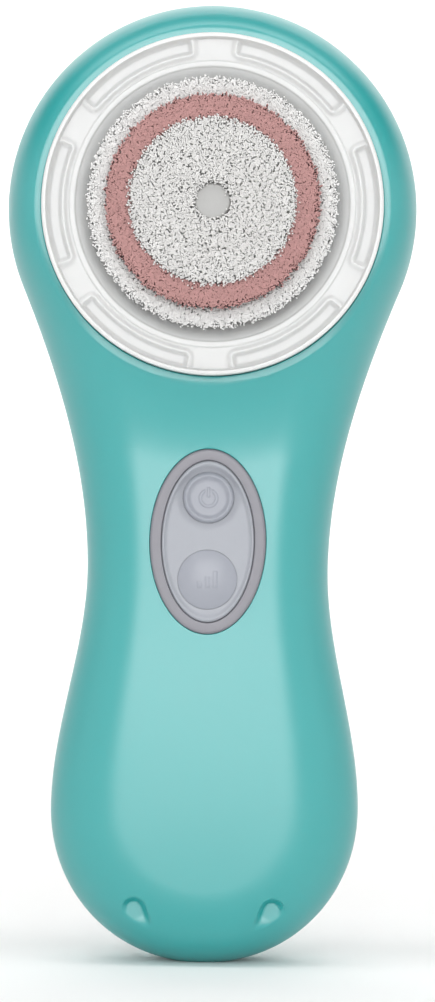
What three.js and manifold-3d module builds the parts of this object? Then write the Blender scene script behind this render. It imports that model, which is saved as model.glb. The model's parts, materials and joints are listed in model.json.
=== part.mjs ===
// A sonic facial cleansing brush: a two-part handle with a keypad, a battery, a charging coil and an
// oscillating motor, and a round brush head that pulls off the front.
// Millimetres. +Z runs up the handle, the brush faces -Y, and the origin lies on the base flat.

import * as THREE from "three";
import { mergeVertices } from "three/addons/utils/BufferGeometryUtils.js";
import Module from "manifold-3d";

const wasm = await Module();
wasm.setup();

// ---------------------------------------------------------------------------------------------
// Driving dimensions
// ---------------------------------------------------------------------------------------------

// Handle outline, seen from the front
const headHeight = 118; // brush axis above the base
const ringRadius = 26.3; // outside of the brush head
const lipWidth = 0.9; // flat lip round the socket
const shoulderWidth = 4.5; // rounded edge outside the lip
const bulbHalfWidth = 24.2; // widest place of the grip
const bulbHeight = 24;
const waistHalfWidth = 18.95; // narrowest place of the grip
const waistBelowHead = 56.5;
const taperAngle = THREE.MathUtils.degToRad(22.5); // where the sides leave the head's circle
const endRoundness = 2.05; // exponent of the superellipse at the lower end
const baseCut = 0.35; // how far the base flat cuts into the lower end

// Handle depth, from the seam plane
const headFront = 15; // plane of the socket lip
const waistFront = 12;
const bulbFront = 12.5;
const bulbBulge = 1; // how much further back the grip's lower end reaches than its waist
const crown = 0.06; // share of depth lost from the middle of the front to its edge
const neckBlend = 13; // width of the slope from the lip down to the grip
const wall = 2;
const seam = 0.3; // gap between the two shells
const seamBehindOrigin = 1.5; // the seam plane lies this far behind the base mount

// Clearances
const seatGap = 0.15; // a seated piece in its seat
const moveGap = 0.35; // a moving piece past a fixed one
const runGap = 0.1; // a shaft in its bush
const solderGap = 0.05; // a component on the circuit board
const socketGap = 0.4; // brush head in its socket
const faceGap = 0.1; // two faces that only just clear each other
const past = 1; // how far a cutting tool reaches beyond what it cuts

// Housing seal
const sealGrooveInset = 0.5;
const sealGrooveWidth = 1;
const sealGrooveDepth = 0.6;

// Socket
const socketDepth = 8.5;
const floorThickness = 2;
const cupWall = 1.8;
const hubHoleRadius = 7.5;
const keyBlockHeight = 1; // key blocks on the socket floor that index the brush head
const keyCount = 3;
const keyFromSkirt = 2;
const keyWidth = 3;
const keyHalfAngle = THREE.MathUtils.degToRad(10);

// Keypad
const keypadBelowHead = 51.9;
const padHalfWidth = 7.2;
const padHalfHeight = 12.55;
const bezelWidth = 1.8;
const bezelSleeve = 0.55;
const bezelProud = 0.3;
const bezelDepth = 1.1;
const padFlange = 1.7;
const padThickness = 3.3;
const padFlangeThickness = 0.7;
const padProud = 0.1;
const powerButtonRadius = 3.95;
const powerButtonUp = 6.8;
const speedButtonRadius = 4.6;
const speedButtonDown = 5.9;
const buttonProud = 0.8;
const buttonTravel = 0.6;
const buttonGap = 0.2;
const buttonFlange = 0.75;
const buttonFlangeThickness = 0.7;

// Circuit board and switches
const boardHalfWidth = 11;
const boardThickness = 1.2;
const boardAbovePad = 12.9;
const boardBelowPad = 22.1;
const switchWidth = 5.2;
const switchHeight = 1.5;
const plungerRadius = 1.6;
const plungerLength = 1.5;
const plungerStandsOut = 0.8;
const chipWidth = 5;
const chipHeight = 0.9;
const connectorWidth = 5;
const connectorHeight = 2.6;
const ledWidth = 1.6;
const ledHeight = 0.8;
const ledDrop = 0.4;
const switchBase = 0.3; // floor left in a switch under its plunger
const boardScrewFromSide = 2.6;
const boardScrewFromEnd = 3;
const chipRight = 0.5;
const chipUp = 8; // chip's lower edge above the lower end of the board
const connectorHalfHeight = 2;
const batteryPlugX = -4.5;
const batteryPlugUp = 3.4;
const motorPlugX = 7.6;
const motorPlugDown = 2.6;

// Battery and inner frame
const batteryRadius = 7;
const batteryLength = 43;
const batteryBottom = 13.5;
const batteryNubRadius = 2.8;
const batteryNubHeight = 1;
const tabThickness = 0.3;
const tabHalfWidth = 4;
const tabFront = 5; // how far the tabs reach to the front of the cell's axis, and to its back
const tabBack = 3;
const cellRim = 0.6; // chamfer at the ends of the cell
const foamThickness = 0.7;
const foamWidth = 9;
const foamFromEnd = 6;
const framePlate = 1.2;
const frameHalfWidth = 11.5;
const frameRail = 1.4;
const frameRailHeight = 5.5;
const frameEndWall = 1.5;
const frameBelowBattery = 2;
const frameScrewHeight = 34;
const frameEarWidth = 2.4;
const frameEarHalfHeight = 3;
const boardBossRadius = 1.9;
const boardBossReach = 2.6;
const lowerWallExtra = 0.5;
const postRadius = 2.2;

// Screws
const screwShankRadius = 0.9;
const screwHeadRadius = 1.9;
const screwHeadHeight = 1.1;
const screwLength = 5.5;
const boardScrewLength = 3.4;

// Charging
const chargeHeight = 19.5;
const chargeCoilRadius = 8.3;
const chargeCoilBore = 3.5;
const chargeCoilThickness = 1.2;
const ferriteRadius = 8.6;
const ferriteThickness = 1;
const dimpleAcross = 10.4;
const dimpleHeight = 7.9;
const dimpleRadius = 1.65;
const dimpleStretch = 1; // how far a dimple's two round ends lie from its middle
const dimpleDepth = 0.75;
const dimpleWall = 2; // plastic between a dimple's floor and its magnet
const chargeMagnetRadius = 2.2;
const chargeMagnetThickness = 1.5;
const magnetCupWall = 1;

// Motor
const frontPlateThickness = 1.2;
const rearPlateThickness = 1.6;
const stackThickness = 6.5; // along the spindle: stator laminations
const stackBehindPlate = 2.5; // room between the front plate and the stack
const armatureShort = 0.4; // how much thinner the armature is than the stack
const postInset = 9; // posts' circle inside the head's inner wall
const postAngle = THREE.MathUtils.degToRad(28);
const motorPostRadius = 2.4;
const bushRadius = 4;
const bushWall = 2;
const bushBossHeight = 1.8;
const spindleRadius = 2;
const armatureHubRadius = 5.5;
const armatureArmHalf = 4;
const backIronRadius = 15.5;
const backIronThickness = 2.7;
const magnetThickness = 2.5;
const magnetFromCentre = THREE.MathUtils.degToRad(4);
const magnetToEdge = THREE.MathUtils.degToRad(34);
const ironPastMagnet = THREE.MathUtils.degToRad(3);
const airGap = 0.8;
const statorHalfWidth = 13;
const statorOuterLeg = 4;
const statorCentreLeg = 3.2;
const statorDrop = 36.5; // lower edge below the spindle
const statorYoke = 4;
const bobbinWall = 0.7;
const coilBuild = 2.1;
const leafThickness = 0.4;
const leafFromCentre = 1.8;
const leafWidth = 4.8;
const leafTop = 22;
const leafBottom = 6.6;
const forkWall = 2;
const forkReach = 4; // how far the armature's fork reaches above the leaves' lower ends
const clampBottom = 18;
const clampHalfWidth = 6;
const clampRoof = 1.5;
const spindleHeadRadius = 3.4;
const spindleHeadThickness = 1.1;
const rearRoom = 2.8; // from the spindle's head to the inside of the rear shell

// Drive hub and seal
const hubRadius = 5;
const driveKeyLength = 9.6;
const driveKeyWidth = 2.6;
const driveKeyHeight = 3.7;
const sealFlangeRadius = 10;
const sealFlangeThickness = 0.9;
const sealNeckWall = 0.8;
const spindleSunk = 0.6; // spindle's end behind the front of the hub

// Brush head
const ringStandsOut = 3.5; // ring's front edge beyond the socket lip
const ringSkirt = 1.4;
const ringLipWidth = 0.9;
const ringChamfer = 0.5;
const pocketWidth = 2.1;
const ribWidth = 0.8;
const ribBelowLip = 1.1;
const pocketBelowRib = 1.2;
const bowlWidth = 2.7;
const tuftPlaneBelowLip = 4;
const tuftFlange = 3.6;
const tuftInset = 0.5; // tufts' roots inside the edges of the flange that carries them
const tuftSplay = 0.8; // how far the outermost tips lean out past their roots
const notchCount = 6;
const notchHalfAngle = THREE.MathUtils.degToRad(8);
const corePlate = 1.6;
const coreBossRadius = 8.2;
const backPlateThickness = 1.5;
const backPlateBore = 9.2;
const colourBandWidth = 3;
const whiteFieldBore = 3.1;
const tuftLength = 9.8;
const outerTuftLength = 6.2;
const pinHeadRadius = 2.85;
const pinHeadHeight = 9.2;
const pinStemRadius = 1.2;
const pinChamfer = 0.4;

const leadRadius = 0.55;

// ---------------------------------------------------------------------------------------------
// Sizes and levels worked out from them
// ---------------------------------------------------------------------------------------------

const socketRadius = ringRadius + socketGap;
const lipRadius = socketRadius + lipWidth;
const headRadius = lipRadius + shoulderWidth;
const waistHeight = headHeight - waistBelowHead;
const keypadHeight = headHeight - keypadBelowHead;

// Levels in Y, from the front to the back of the grip
const padFrontY = -waistFront - padProud;
const padBackY = padFrontY + padThickness;
const buttonFrontY = padFrontY - buttonProud;
const buttonFlangeY = padBackY + moveGap;
const buttonBackY = buttonFlangeY + buttonFlangeThickness;
const plungerFrontY = buttonBackY + buttonTravel / 2;
const switchFrontY = plungerFrontY + plungerStandsOut;
const boardFrontY = switchFrontY + switchHeight + solderGap;
const boardBackY = boardFrontY + boardThickness;
const frameFrontY = boardBackY + seatGap;
const frameBackY = frameFrontY + framePlate;
const batteryY = frameBackY + seatGap + batteryRadius;
const batteryBackY = batteryY + batteryRadius;
const waistBack = batteryBackY + seatGap * 2 + foamThickness + wall;
const bulbBack = waistBack + bulbBulge;

// Levels in Y, from the socket lip back through the motor
const rimY = -headFront;
const floorY = rimY + socketDepth;
const floorBackY = floorY + floorThickness;
const frontPlateY = floorBackY + seatGap * 2;
const frontPlateBackY = frontPlateY + frontPlateThickness;
const stackY = frontPlateBackY + stackBehindPlate;
const stackBackY = stackY + stackThickness;
const rearPlateY = stackBackY + seatGap;
const rearPlateBackY = rearPlateY + rearPlateThickness;
const rearBushEndY = rearPlateBackY + 2;
const spindleHeadY = rearBushEndY + 0.2;
const spindleEndY = spindleHeadY + spindleHeadThickness;
const headBack = spindleEndY + rearRoom + wall;
const postCircle = headRadius - wall - postInset;

// Levels of the brush head, from its front lip back
const ringLipY = rimY - ringStandsOut;
const tuftPlaneY = ringLipY + tuftPlaneBelowLip;
const coreBackY = tuftPlaneY + corePlate;
const ringBackY = floorY - 1.5;
const backPlateY = ringBackY - 0.2 - backPlateThickness;
const hubFrontY = ringBackY - 0.6;
const driveKeyFrontY = hubFrontY - driveKeyHeight;

// Radii of the brush head, from the outside in
const lipInnerRadius = ringRadius - ringLipWidth;
const ribOuterRadius = lipInnerRadius - pocketWidth;
const ribInnerRadius = ribOuterRadius - ribWidth;
const flangeRadius = ribInnerRadius - bowlWidth;
const ringBore = flangeRadius - tuftFlange;
const coreRadius = ringBore - socketGap;

// ---------------------------------------------------------------------------------------------
// Solids from closed three.js geometry
// ---------------------------------------------------------------------------------------------

function manifoldFrom(points, triangles) {
  const mesh = new wasm.Mesh({
    numProp: 3,
    vertProperties: points,
    triVerts: new Uint32Array(triangles),
  });
  return new wasm.Manifold(mesh);
}

// Merges a geometry's shared vertices and turns it into a solid whose faces point out.
function solid(geometry) {
  const bare = geometry.index ? geometry.toNonIndexed() : geometry.clone();
  bare.deleteAttribute("normal");
  bare.deleteAttribute("uv");
  const merged = mergeVertices(bare, 1e-4);
  const index = merged.index.array;
  const outward = [];
  const inward = [];
  for (let i = 0; i < index.length; i += 3) {
    const [a, b, c] = [index[i], index[i + 1], index[i + 2]];
    if (a === b || b === c || c === a) continue;
    outward.push(a, b, c);
    inward.push(a, c, b);
  }
  const points = merged.attributes.position.array;
  const made = manifoldFrom(points, outward);
  return made.volume() < 0 ? manifoldFrom(points, inward) : made;
}

function geometryOf(made) {
  const mesh = made.getMesh();
  const step = mesh.numProp;
  const points = new Float32Array(mesh.numVert * 3);
  for (let i = 0; i < mesh.numVert; i++) {
    points.set(mesh.vertProperties.subarray(i * step, i * step + 3), i * 3);
  }
  const geometry = new THREE.BufferGeometry();
  geometry.setAttribute("position", new THREE.BufferAttribute(points, 3));
  geometry.setIndex(new THREE.BufferAttribute(mesh.triVerts, 1));
  geometry.computeVertexNormals();
  return geometry;
}

const join = (...solids) => solids.reduce((all, one) => all.add(one));
const cut = (made, ...tools) => tools.reduce((left, tool) => left.subtract(tool), made);

function box(x0, x1, y0, y1, z0, z1) {
  const geometry = new THREE.BoxGeometry(x1 - x0, y1 - y0, z1 - z0);
  return solid(geometry.translate((x0 + x1) / 2, (y0 + y1) / 2, (z0 + z1) / 2));
}

// A round bar along Y.
function rod(radius, y0, y1, x = 0, z = 0, sides = 32) {
  const geometry = new THREE.CylinderGeometry(radius, radius, y1 - y0, sides);
  return solid(geometry.translate(x, (y0 + y1) / 2, z));
}

// A round tube along Y.
function tube(outer, inner, y0, y1, x = 0, z = 0, sides = 32) {
  return cut(rod(outer, y0, y1, x, z, sides), rod(inner, y0 - 1, y1 + 1, x, z, sides));
}

// A profile of [radius, y] points, turned about Y. It closes on itself.
function turned(profile, sides = 48) {
  const points = [...profile, profile[0]].map(([radius, y]) => new THREE.Vector2(radius, y));
  return solid(new THREE.LatheGeometry(points, sides));
}

// An outline in X and Z, carried along Y from y0 to y1.
function plate(shape, y0, y1, curveSegments = 12) {
  const options = { depth: y1 - y0, bevelEnabled: false, curveSegments };
  const geometry = new THREE.ExtrudeGeometry(shape, options);
  return solid(geometry.rotateX(Math.PI / 2).translate(0, y1, 0));
}

function ovalShape(halfWidth, halfHeight, z = 0) {
  const shape = new THREE.Shape();
  shape.absellipse(0, z, halfWidth, halfHeight, 0, Math.PI * 2);
  return shape;
}

// A ring segment about the axis; angles are measured from straight down.
function arcShape(inner, outer, from, to) {
  const shape = new THREE.Shape();
  const down = -Math.PI / 2;
  shape.absarc(0, 0, outer, down + from, down + to, false);
  shape.absarc(0, 0, inner, down + to, down + from, true);
  shape.closePath();
  return shape;
}

// ---------------------------------------------------------------------------------------------
// Body surface: an outline, and a depth in front of and behind the seam plane
// ---------------------------------------------------------------------------------------------

const lerp = THREE.MathUtils.lerp;
const clamp01 = (t) => THREE.MathUtils.clamp(t, 0, 1);
const smooth = (t) => clamp01(t) ** 2 * (3 - 2 * clamp01(t));

// Half the body's width at a height between the grip's widest place and the head's axis.
function halfWidth(z, inset) {
  const bulb = bulbHalfWidth - inset;
  const waist = waistHalfWidth - inset;
  if (z <= waistHeight) {
    return lerp(bulb, waist, smooth((z - bulbHeight) / (waistHeight - bulbHeight)));
  }
  const radius = headRadius - inset;
  const leaveZ = headHeight - radius * Math.sin(taperAngle);
  if (z >= leaveZ) return Math.sqrt(radius ** 2 - (headHeight - z) ** 2);
  const span = leaveZ - waistHeight;
  const t = (z - waistHeight) / span;
  const rise = span * Math.tan(taperAngle) * (t ** 3 - t ** 2);
  return lerp(waist, radius * Math.cos(taperAngle), smooth(t)) + rise;
}

// Depth of the front before its edge is rounded. Round the head it is the lip's depth.
function frontDepth(x, z, inset) {
  const grip = lerp(bulbFront, waistFront, smooth((z - bulbHeight) / (waistHeight - bulbHeight)));
  const fromAxis = Math.hypot(x, z - headHeight);
  const slope = (1 - clamp01((fromAxis - lipRadius) / neckBlend)) ** 2;
  return lerp(grip, headFront, slope) - inset;
}

function backDepth(z, inset) {
  const grip = lerp(bulbBack, waistBack, smooth((z - bulbHeight) / (waistHeight - bulbHeight)));
  const lowNeck = waistHeight + 10;
  return lerp(grip, headBack, smooth((z - lowNeck) / (headHeight - lowNeck))) - inset;
}

// Share of the depth that is left at a share of the way from the middle to the outline.
function edge(share, flat, power) {
  const past = Math.max(0, (share - flat) / (1 - flat));
  return Math.max(0, 1 - past ** power) ** (1 / power);
}

function frontY(x, z, share, inset) {
  const nearHead = smooth((z - keypadHeight - padHalfHeight) / (headHeight - keypadHeight - padHalfHeight));
  const flat = lerp(0.5, socketRadius / headRadius, nearHead);
  const power = lerp(2.2, 2.6, nearHead);
  const crowned = 1 - crown * (1 - nearHead) * share ** 2;
  return -frontDepth(x, z, inset) * edge(share, flat, power) * crowned;
}

function backY(z, share, inset) {
  return backDepth(z, inset) * edge(share, 0.25, 2.3);
}

// Points round the outline, each with the height of its place on the body's middle line.
function outline(inset, capSteps, sideSteps) {
  const right = [];
  const low = bulbHeight + baseCut - inset;
  for (let i = 0; i <= capSteps; i++) {
    const angle = (i / capSteps) * (Math.PI / 2);
    const x = (bulbHalfWidth - inset) * Math.sin(angle) ** (2 / endRoundness);
    const z = bulbHeight - low * Math.max(0, Math.cos(angle)) ** (2 / endRoundness);
    right.push({ x, z, middle: bulbHeight });
  }
  for (let i = 1; i <= sideSteps; i++) {
    const z = lerp(bulbHeight, headHeight, i / sideSteps);
    right.push({ x: halfWidth(z, inset), z, middle: z });
  }
  const radius = headRadius - inset;
  for (let i = 1; i <= capSteps; i++) {
    const angle = (i / capSteps) * (Math.PI / 2);
    const x = i === capSteps ? 0 : radius * Math.cos(angle);
    right.push({ x, z: headHeight + radius * Math.sin(angle), middle: headHeight });
  }
  const left = right.slice(1, -1).reverse();
  return [...right, ...left.map(({ x, z, middle }) => ({ x: -x, z, middle }))];
}

// The closed body: rings of points from the middle line out to the seam, in front and behind.
function bodySolid(inset, capSteps, sideSteps, levels) {
  const loop = outline(inset, capSteps, sideSteps);
  const count = loop.length;
  const points = [];
  const rings = [];
  for (const front of [true, false]) {
    for (let level = 0; level <= levels; level++) {
      const share = level === levels ? 1 : Math.sin((level / levels) * (Math.PI / 2));
      rings.push(points.length / 3);
      for (const place of loop) {
        const x = place.x * share;
        const z = place.middle + (place.z - place.middle) * share;
        points.push(x, front ? frontY(x, z, share, inset) : backY(z, share, inset), z);
      }
    }
  }
  const index = [];
  rings.forEach((ring, i) => {
    if (i % (levels + 1) === levels) return;
    const outer = rings[i + 1];
    const front = i < levels;
    for (let j = 0; j < count; j++) {
      const k = (j + 1) % count;
      const quad = [ring + j, ring + k, outer + k, outer + j];
      if (!front) quad.reverse();
      index.push(quad[0], quad[1], quad[2], quad[0], quad[2], quad[3]);
    }
  });
  const geometry = new THREE.BufferGeometry();
  geometry.setAttribute("position", new THREE.Float32BufferAttribute(points, 3));
  geometry.setIndex(index);
  return solid(geometry);
}

// The outline between two insets, carried along Y: a loop that follows the seam.
function seamLoop(outerInset, innerInset, y0, y1) {
  const shapeOf = (inset) => {
    const loop = outline(inset, 8, 18);
    return new THREE.Shape(loop.map(({ x, z }) => new THREE.Vector2(x, z)));
  };
  const whole = plate(shapeOf(outerInset), y0, y1);
  return cut(whole, plate(shapeOf(innerInset), y0 - 1, y1 + 1));
}

// ---------------------------------------------------------------------------------------------
// Scene graph
// ---------------------------------------------------------------------------------------------

const finish = (color, roughness, metalness = 0) =>
  new THREE.MeshStandardMaterial({ color, roughness, metalness });

const shellTeal = () => finish(0x5fbdb9, 0.38);
const padGrey = () => finish(0xbec2c8, 0.5);
const bezelGrey = () => finish(0x9c9ca4, 0.45);
const frostWhite = () => finish(0xf1f1f0, 0.35);
const bristleWhite = () => finish(0xe8e6e2, 0.6);
const bristleRose = () => finish(0xc0827c, 0.6);
const innerPlastic = () => finish(0x4a4d52, 0.55);
const naturalNylon = () => finish(0xdedbd2, 0.5);
const steel = () => finish(0xb9bcc0, 0.3, 1);
const brass = () => finish(0xc7a45a, 0.35, 1);
const copper = () => finish(0xb8683c, 0.35, 1);
const lamination = () => finish(0x6f7276, 0.5, 1);
const ferrite = () => finish(0x2b2b2e, 0.6);
const rubber = () => finish(0x3a3c40, 0.8);
const boardGreen = () => finish(0x1f5a3c, 0.5);
const chipBlack = () => finish(0x222225, 0.5);
const batteryWrap = () => finish(0x3e5f8f, 0.35);
const foamGrey = () => finish(0x6b6b70, 0.9);
const lampClear = () => finish(0xe6ece4, 0.2);
const wireRed = () => finish(0xb02a26, 0.5);
const wireBlack = () => finish(0x1c1c1e, 0.5);

const brush = new THREE.Group();
const body = new THREE.Group(); // seam plane at y = 0
const head = new THREE.Group(); // origin on the brush axis
const keypad = new THREE.Group(); // origin at the middle of the keypad
body.position.y = seamBehindOrigin;
head.position.z = headHeight;
keypad.position.z = keypadHeight;
brush.add(body);
body.add(head, keypad);

function put(group, name, made, material) {
  const mesh = new THREE.Mesh(geometryOf(made), material);
  mesh.name = name;
  group.add(mesh);
}

// A screw along Y with its head at the back and its tip towards the front.
function screw(length) {
  const shank = rod(screwShankRadius, -length, 0.5, 0, 0, 12);
  const top = rod(screwHeadRadius, 0, screwHeadHeight, 0, 0, 16);
  const slot = box(-1.3, 1.3, screwHeadHeight - 0.5, screwHeadHeight + 1, -0.3, 0.3);
  return cut(join(shank, top), slot);
}

function putScrew(group, name, length, x, y, z) {
  put(group, name, screw(length), steel());
  group.children.at(-1).position.set(x, y, z);
}

// ---------------------------------------------------------------------------------------------
// Housing
// ---------------------------------------------------------------------------------------------

const motorPosts = [
  [1, 1],
  [-1, 1],
  [-1, -1],
  [1, -1],
].map(([sx, sz]) => [
  sx * postCircle * Math.cos(postAngle),
  sz * postCircle * Math.sin(postAngle),
]);
const frameScrewX = batteryRadius + frameRail + seatGap + screwHeadRadius + 0.5;
const frameScrews = [-frameScrewX, frameScrewX];
const dimpleSides = [-dimpleAcross, dimpleAcross];

// How far along Y the front surface lies at a place on the grip below its widest place.
function frontYNearEnd(x, z) {
  const direction = Math.atan2(Math.abs(x), bulbHeight - z);
  const power = endRoundness;
  const across = (Math.sin(direction) / bulbHalfWidth) ** power;
  const down = (Math.cos(direction) / (bulbHeight + baseCut)) ** power;
  const reach = (across + down) ** (-1 / power);
  return frontY(x, z, Math.hypot(x, bulbHeight - z) / reach, 0);
}

const dimpleFloorY = frontYNearEnd(dimpleAcross, dimpleHeight) + dimpleDepth;

// A round-ended slot along Z, carried along Y.
function slot(radius, stretch, y0, y1, x, z) {
  return join(
    rod(radius, y0, y1, x, z - stretch, 24),
    rod(radius, y0, y1, x, z + stretch, 24),
    box(x - radius, x + radius, y0, y1, z - stretch, z + stretch),
  );
}

function sealGroove() {
  const inner = sealGrooveInset + sealGrooveWidth;
  return seamLoop(sealGrooveInset, inner, -sealGrooveDepth, sealGrooveDepth);
}

function pilotHole(y0, y1, x, z) {
  return rod(screwShankRadius + seatGap, y0, y1, x, z, 12);
}

function frontShell(outside, inside) {
  const far = headRadius * 3;
  const deep = headFront * 3;
  const top = headHeight * 2;
  const frontHalf = box(-far, far, -deep, -seam / 2, -1, top);
  const skin = cut(outside, inside).intersect(frontHalf);

  const cup = rod(socketRadius + cupWall, rimY + 2, floorBackY, 0, headHeight, 72);
  const lip = rod(lipRadius, rimY, floorBackY, 0, headHeight, 72);
  const bore = rod(socketRadius, rimY - 5, floorY, 0, headHeight, 72);
  const hubHole = rod(hubHoleRadius, floorY - 5, floorBackY + 1, 0, headHeight, 36);
  const posts = motorPosts.map(([x, z]) =>
    rod(motorPostRadius, floorY + 1, stackBackY, x, headHeight + z, 20),
  );
  const postHoles = motorPosts.map(([x, z]) =>
    pilotHole(stackBackY - screwLength - 0.5, stackBackY + 1, x, headHeight + z),
  );

  const earPosts = frameScrews.map((x) => {
    const shellY = -frontDepth(x, frameScrewHeight, 0) + wall / 2;
    return rod(postRadius, shellY, frameFrontY - seatGap, x, frameScrewHeight, 20);
  });
  const earHoles = frameScrews.map((x) =>
    pilotHole(frameFrontY - screwLength, frameFrontY + 1, x, frameScrewHeight),
  );

  const cupRadius = chargeMagnetRadius + seatGap + magnetCupWall;
  const magnetFrontY = dimpleFloorY + dimpleWall;
  const cupBackY = magnetFrontY + chargeMagnetThickness + magnetCupWall;
  const cups = dimpleSides.map((x) =>
    rod(cupRadius, dimpleFloorY - 3, cupBackY, x, dimpleHeight, 24).intersect(outside),
  );
  const cupBores = dimpleSides.map((x) =>
    rod(chargeMagnetRadius + seatGap, magnetFrontY, cupBackY + past, x, dimpleHeight, 24),
  );
  const dimples = dimpleSides.map((x) =>
    slot(dimpleRadius, dimpleStretch, dimpleFloorY - 9, dimpleFloorY, x, dimpleHeight),
  );

  const padHole = plate(
    ovalShape(
      padHalfWidth + bezelSleeve + seatGap * 2,
      padHalfHeight + bezelSleeve + seatGap * 2,
      keypadHeight,
    ),
    -waistFront - 5,
    -waistFront + wall + 2,
  );
  const bezelSeat = plate(
    ovalShape(
      padHalfWidth + bezelWidth + seatGap,
      padHalfHeight + bezelWidth + seatGap,
      keypadHeight,
    ),
    -waistFront - 5,
    -waistFront - bezelProud + bezelDepth + seatGap,
  );
  const flangeSeat = plate(
    ovalShape(
      padHalfWidth + padFlange + seatGap,
      padHalfHeight + padFlange + seatGap,
      keypadHeight,
    ),
    padBackY - padFlangeThickness - seatGap,
    boardFrontY,
  );

  const solidParts = join(skin, cup, lip, ...posts, ...earPosts, ...cups);
  const keyed = join(cut(solidParts, bore), ...keyBlocks(0, floorY - keyBlockHeight, floorY + 0.5));
  const baseTool = box(-far, far, -deep, deep, -5, 0);
  return cut(
    keyed,
    hubHole,
    ...postHoles,
    ...earHoles,
    ...cupBores,
    ...dimples,
    padHole,
    bezelSeat,
    flangeSeat,
    sealGroove(),
    baseTool,
  );
}

// Blocks on the socket floor, and with an offset the lugs of the brush head that pass between them.
function keyBlocks(offset, y0, y1, z = headHeight) {
  const outer = ringRadius - ringSkirt - keyFromSkirt;
  const blocks = [];
  for (let i = 0; i < keyCount; i++) {
    const middle = offset + (i * Math.PI * 2) / keyCount;
    const [from, to] = [middle - keyHalfAngle, middle + keyHalfAngle];
    const shape = arcShape(outer - keyWidth, outer, from, to);
    const options = { depth: y1 - y0, bevelEnabled: false, curveSegments: 5 };
    const geometry = new THREE.ExtrudeGeometry(shape, options);
    blocks.push(solid(geometry.rotateX(Math.PI / 2).translate(0, y1, z)));
  }
  return blocks;
}

function rearShell(outside, inside) {
  const far = headRadius * 3;
  const deep = headBack * 3;
  const rearHalf = box(-far, far, seam / 2, deep, -1, headHeight * 2);
  const skin = cut(outside, inside).intersect(rearHalf);
  return cut(skin, sealGroove(), box(-far, far, -deep, deep, -5, 0));
}

function putHousing() {
  const outside = bodySolid(0, 8, 16, 7);
  const inside = bodySolid(wall, 6, 10, 5);
  put(body, "front_shell", frontShell(outside, inside), shellTeal());
  put(body, "rear_shell", rearShell(outside, inside), shellTeal());

  const outer = sealGrooveInset + seatGap;
  const inner = sealGrooveInset + sealGrooveWidth - seatGap;
  const halfDepth = sealGrooveDepth - runGap;
  put(body, "housing_seal", seamLoop(outer, inner, -halfDepth, halfDepth), rubber());
}

// ---------------------------------------------------------------------------------------------
// Keypad: bezel, soft pad, two buttons
// ---------------------------------------------------------------------------------------------

const buttons = [
  { name: "power", radius: powerButtonRadius, z: powerButtonUp },
  { name: "speed", radius: speedButtonRadius, z: -speedButtonDown },
];

function putKeypad() {
  const grown = (by) => ovalShape(padHalfWidth + by, padHalfHeight + by);
  const bezelY = -waistFront - bezelProud;
  const frame = plate(grown(bezelWidth), bezelY, bezelY + bezelDepth);
  const sleeve = plate(grown(bezelSleeve + seatGap), bezelY, -waistFront + wall);
  const window = plate(grown(seatGap), bezelY - past, -waistFront + wall + past);
  put(keypad, "keypad_bezel", cut(join(frame, sleeve), window), bezelGrey());

  const front = plate(grown(0), padFrontY, padBackY);
  const flange = plate(grown(padFlange), padBackY - padFlangeThickness, padBackY);
  const holes = buttons.map(({ radius, z }) =>
    rod(radius + buttonGap, padFrontY - past, padBackY + past, 0, z, 36),
  );
  put(keypad, "keypad_pad", cut(join(front, flange), ...holes), padGrey());

  for (const { name, radius, z } of buttons) {
    const cap = rod(radius, buttonFrontY, buttonBackY, 0, z, 36);
    const stop = rod(radius + buttonFlange, buttonFlangeY, buttonBackY, 0, z, 36);
    put(keypad, `${name}_button`, join(cap, stop), padGrey());
  }
}

// ---------------------------------------------------------------------------------------------
// Circuit board, inner frame, battery
// ---------------------------------------------------------------------------------------------

const boardBottom = -boardBelowPad;
const boardTop = boardAbovePad;
const boardScrewX = boardHalfWidth - boardScrewFromSide;
const boardScrews = [
  [boardScrewX, boardBottom + boardScrewFromEnd],
  [-boardScrewX, boardTop - boardScrewFromEnd],
];
const connectors = {
  battery: { x: batteryPlugX, z: boardBottom + batteryPlugUp },
  motor: { x: motorPlugX, z: boardTop - motorPlugDown },
};

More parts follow.
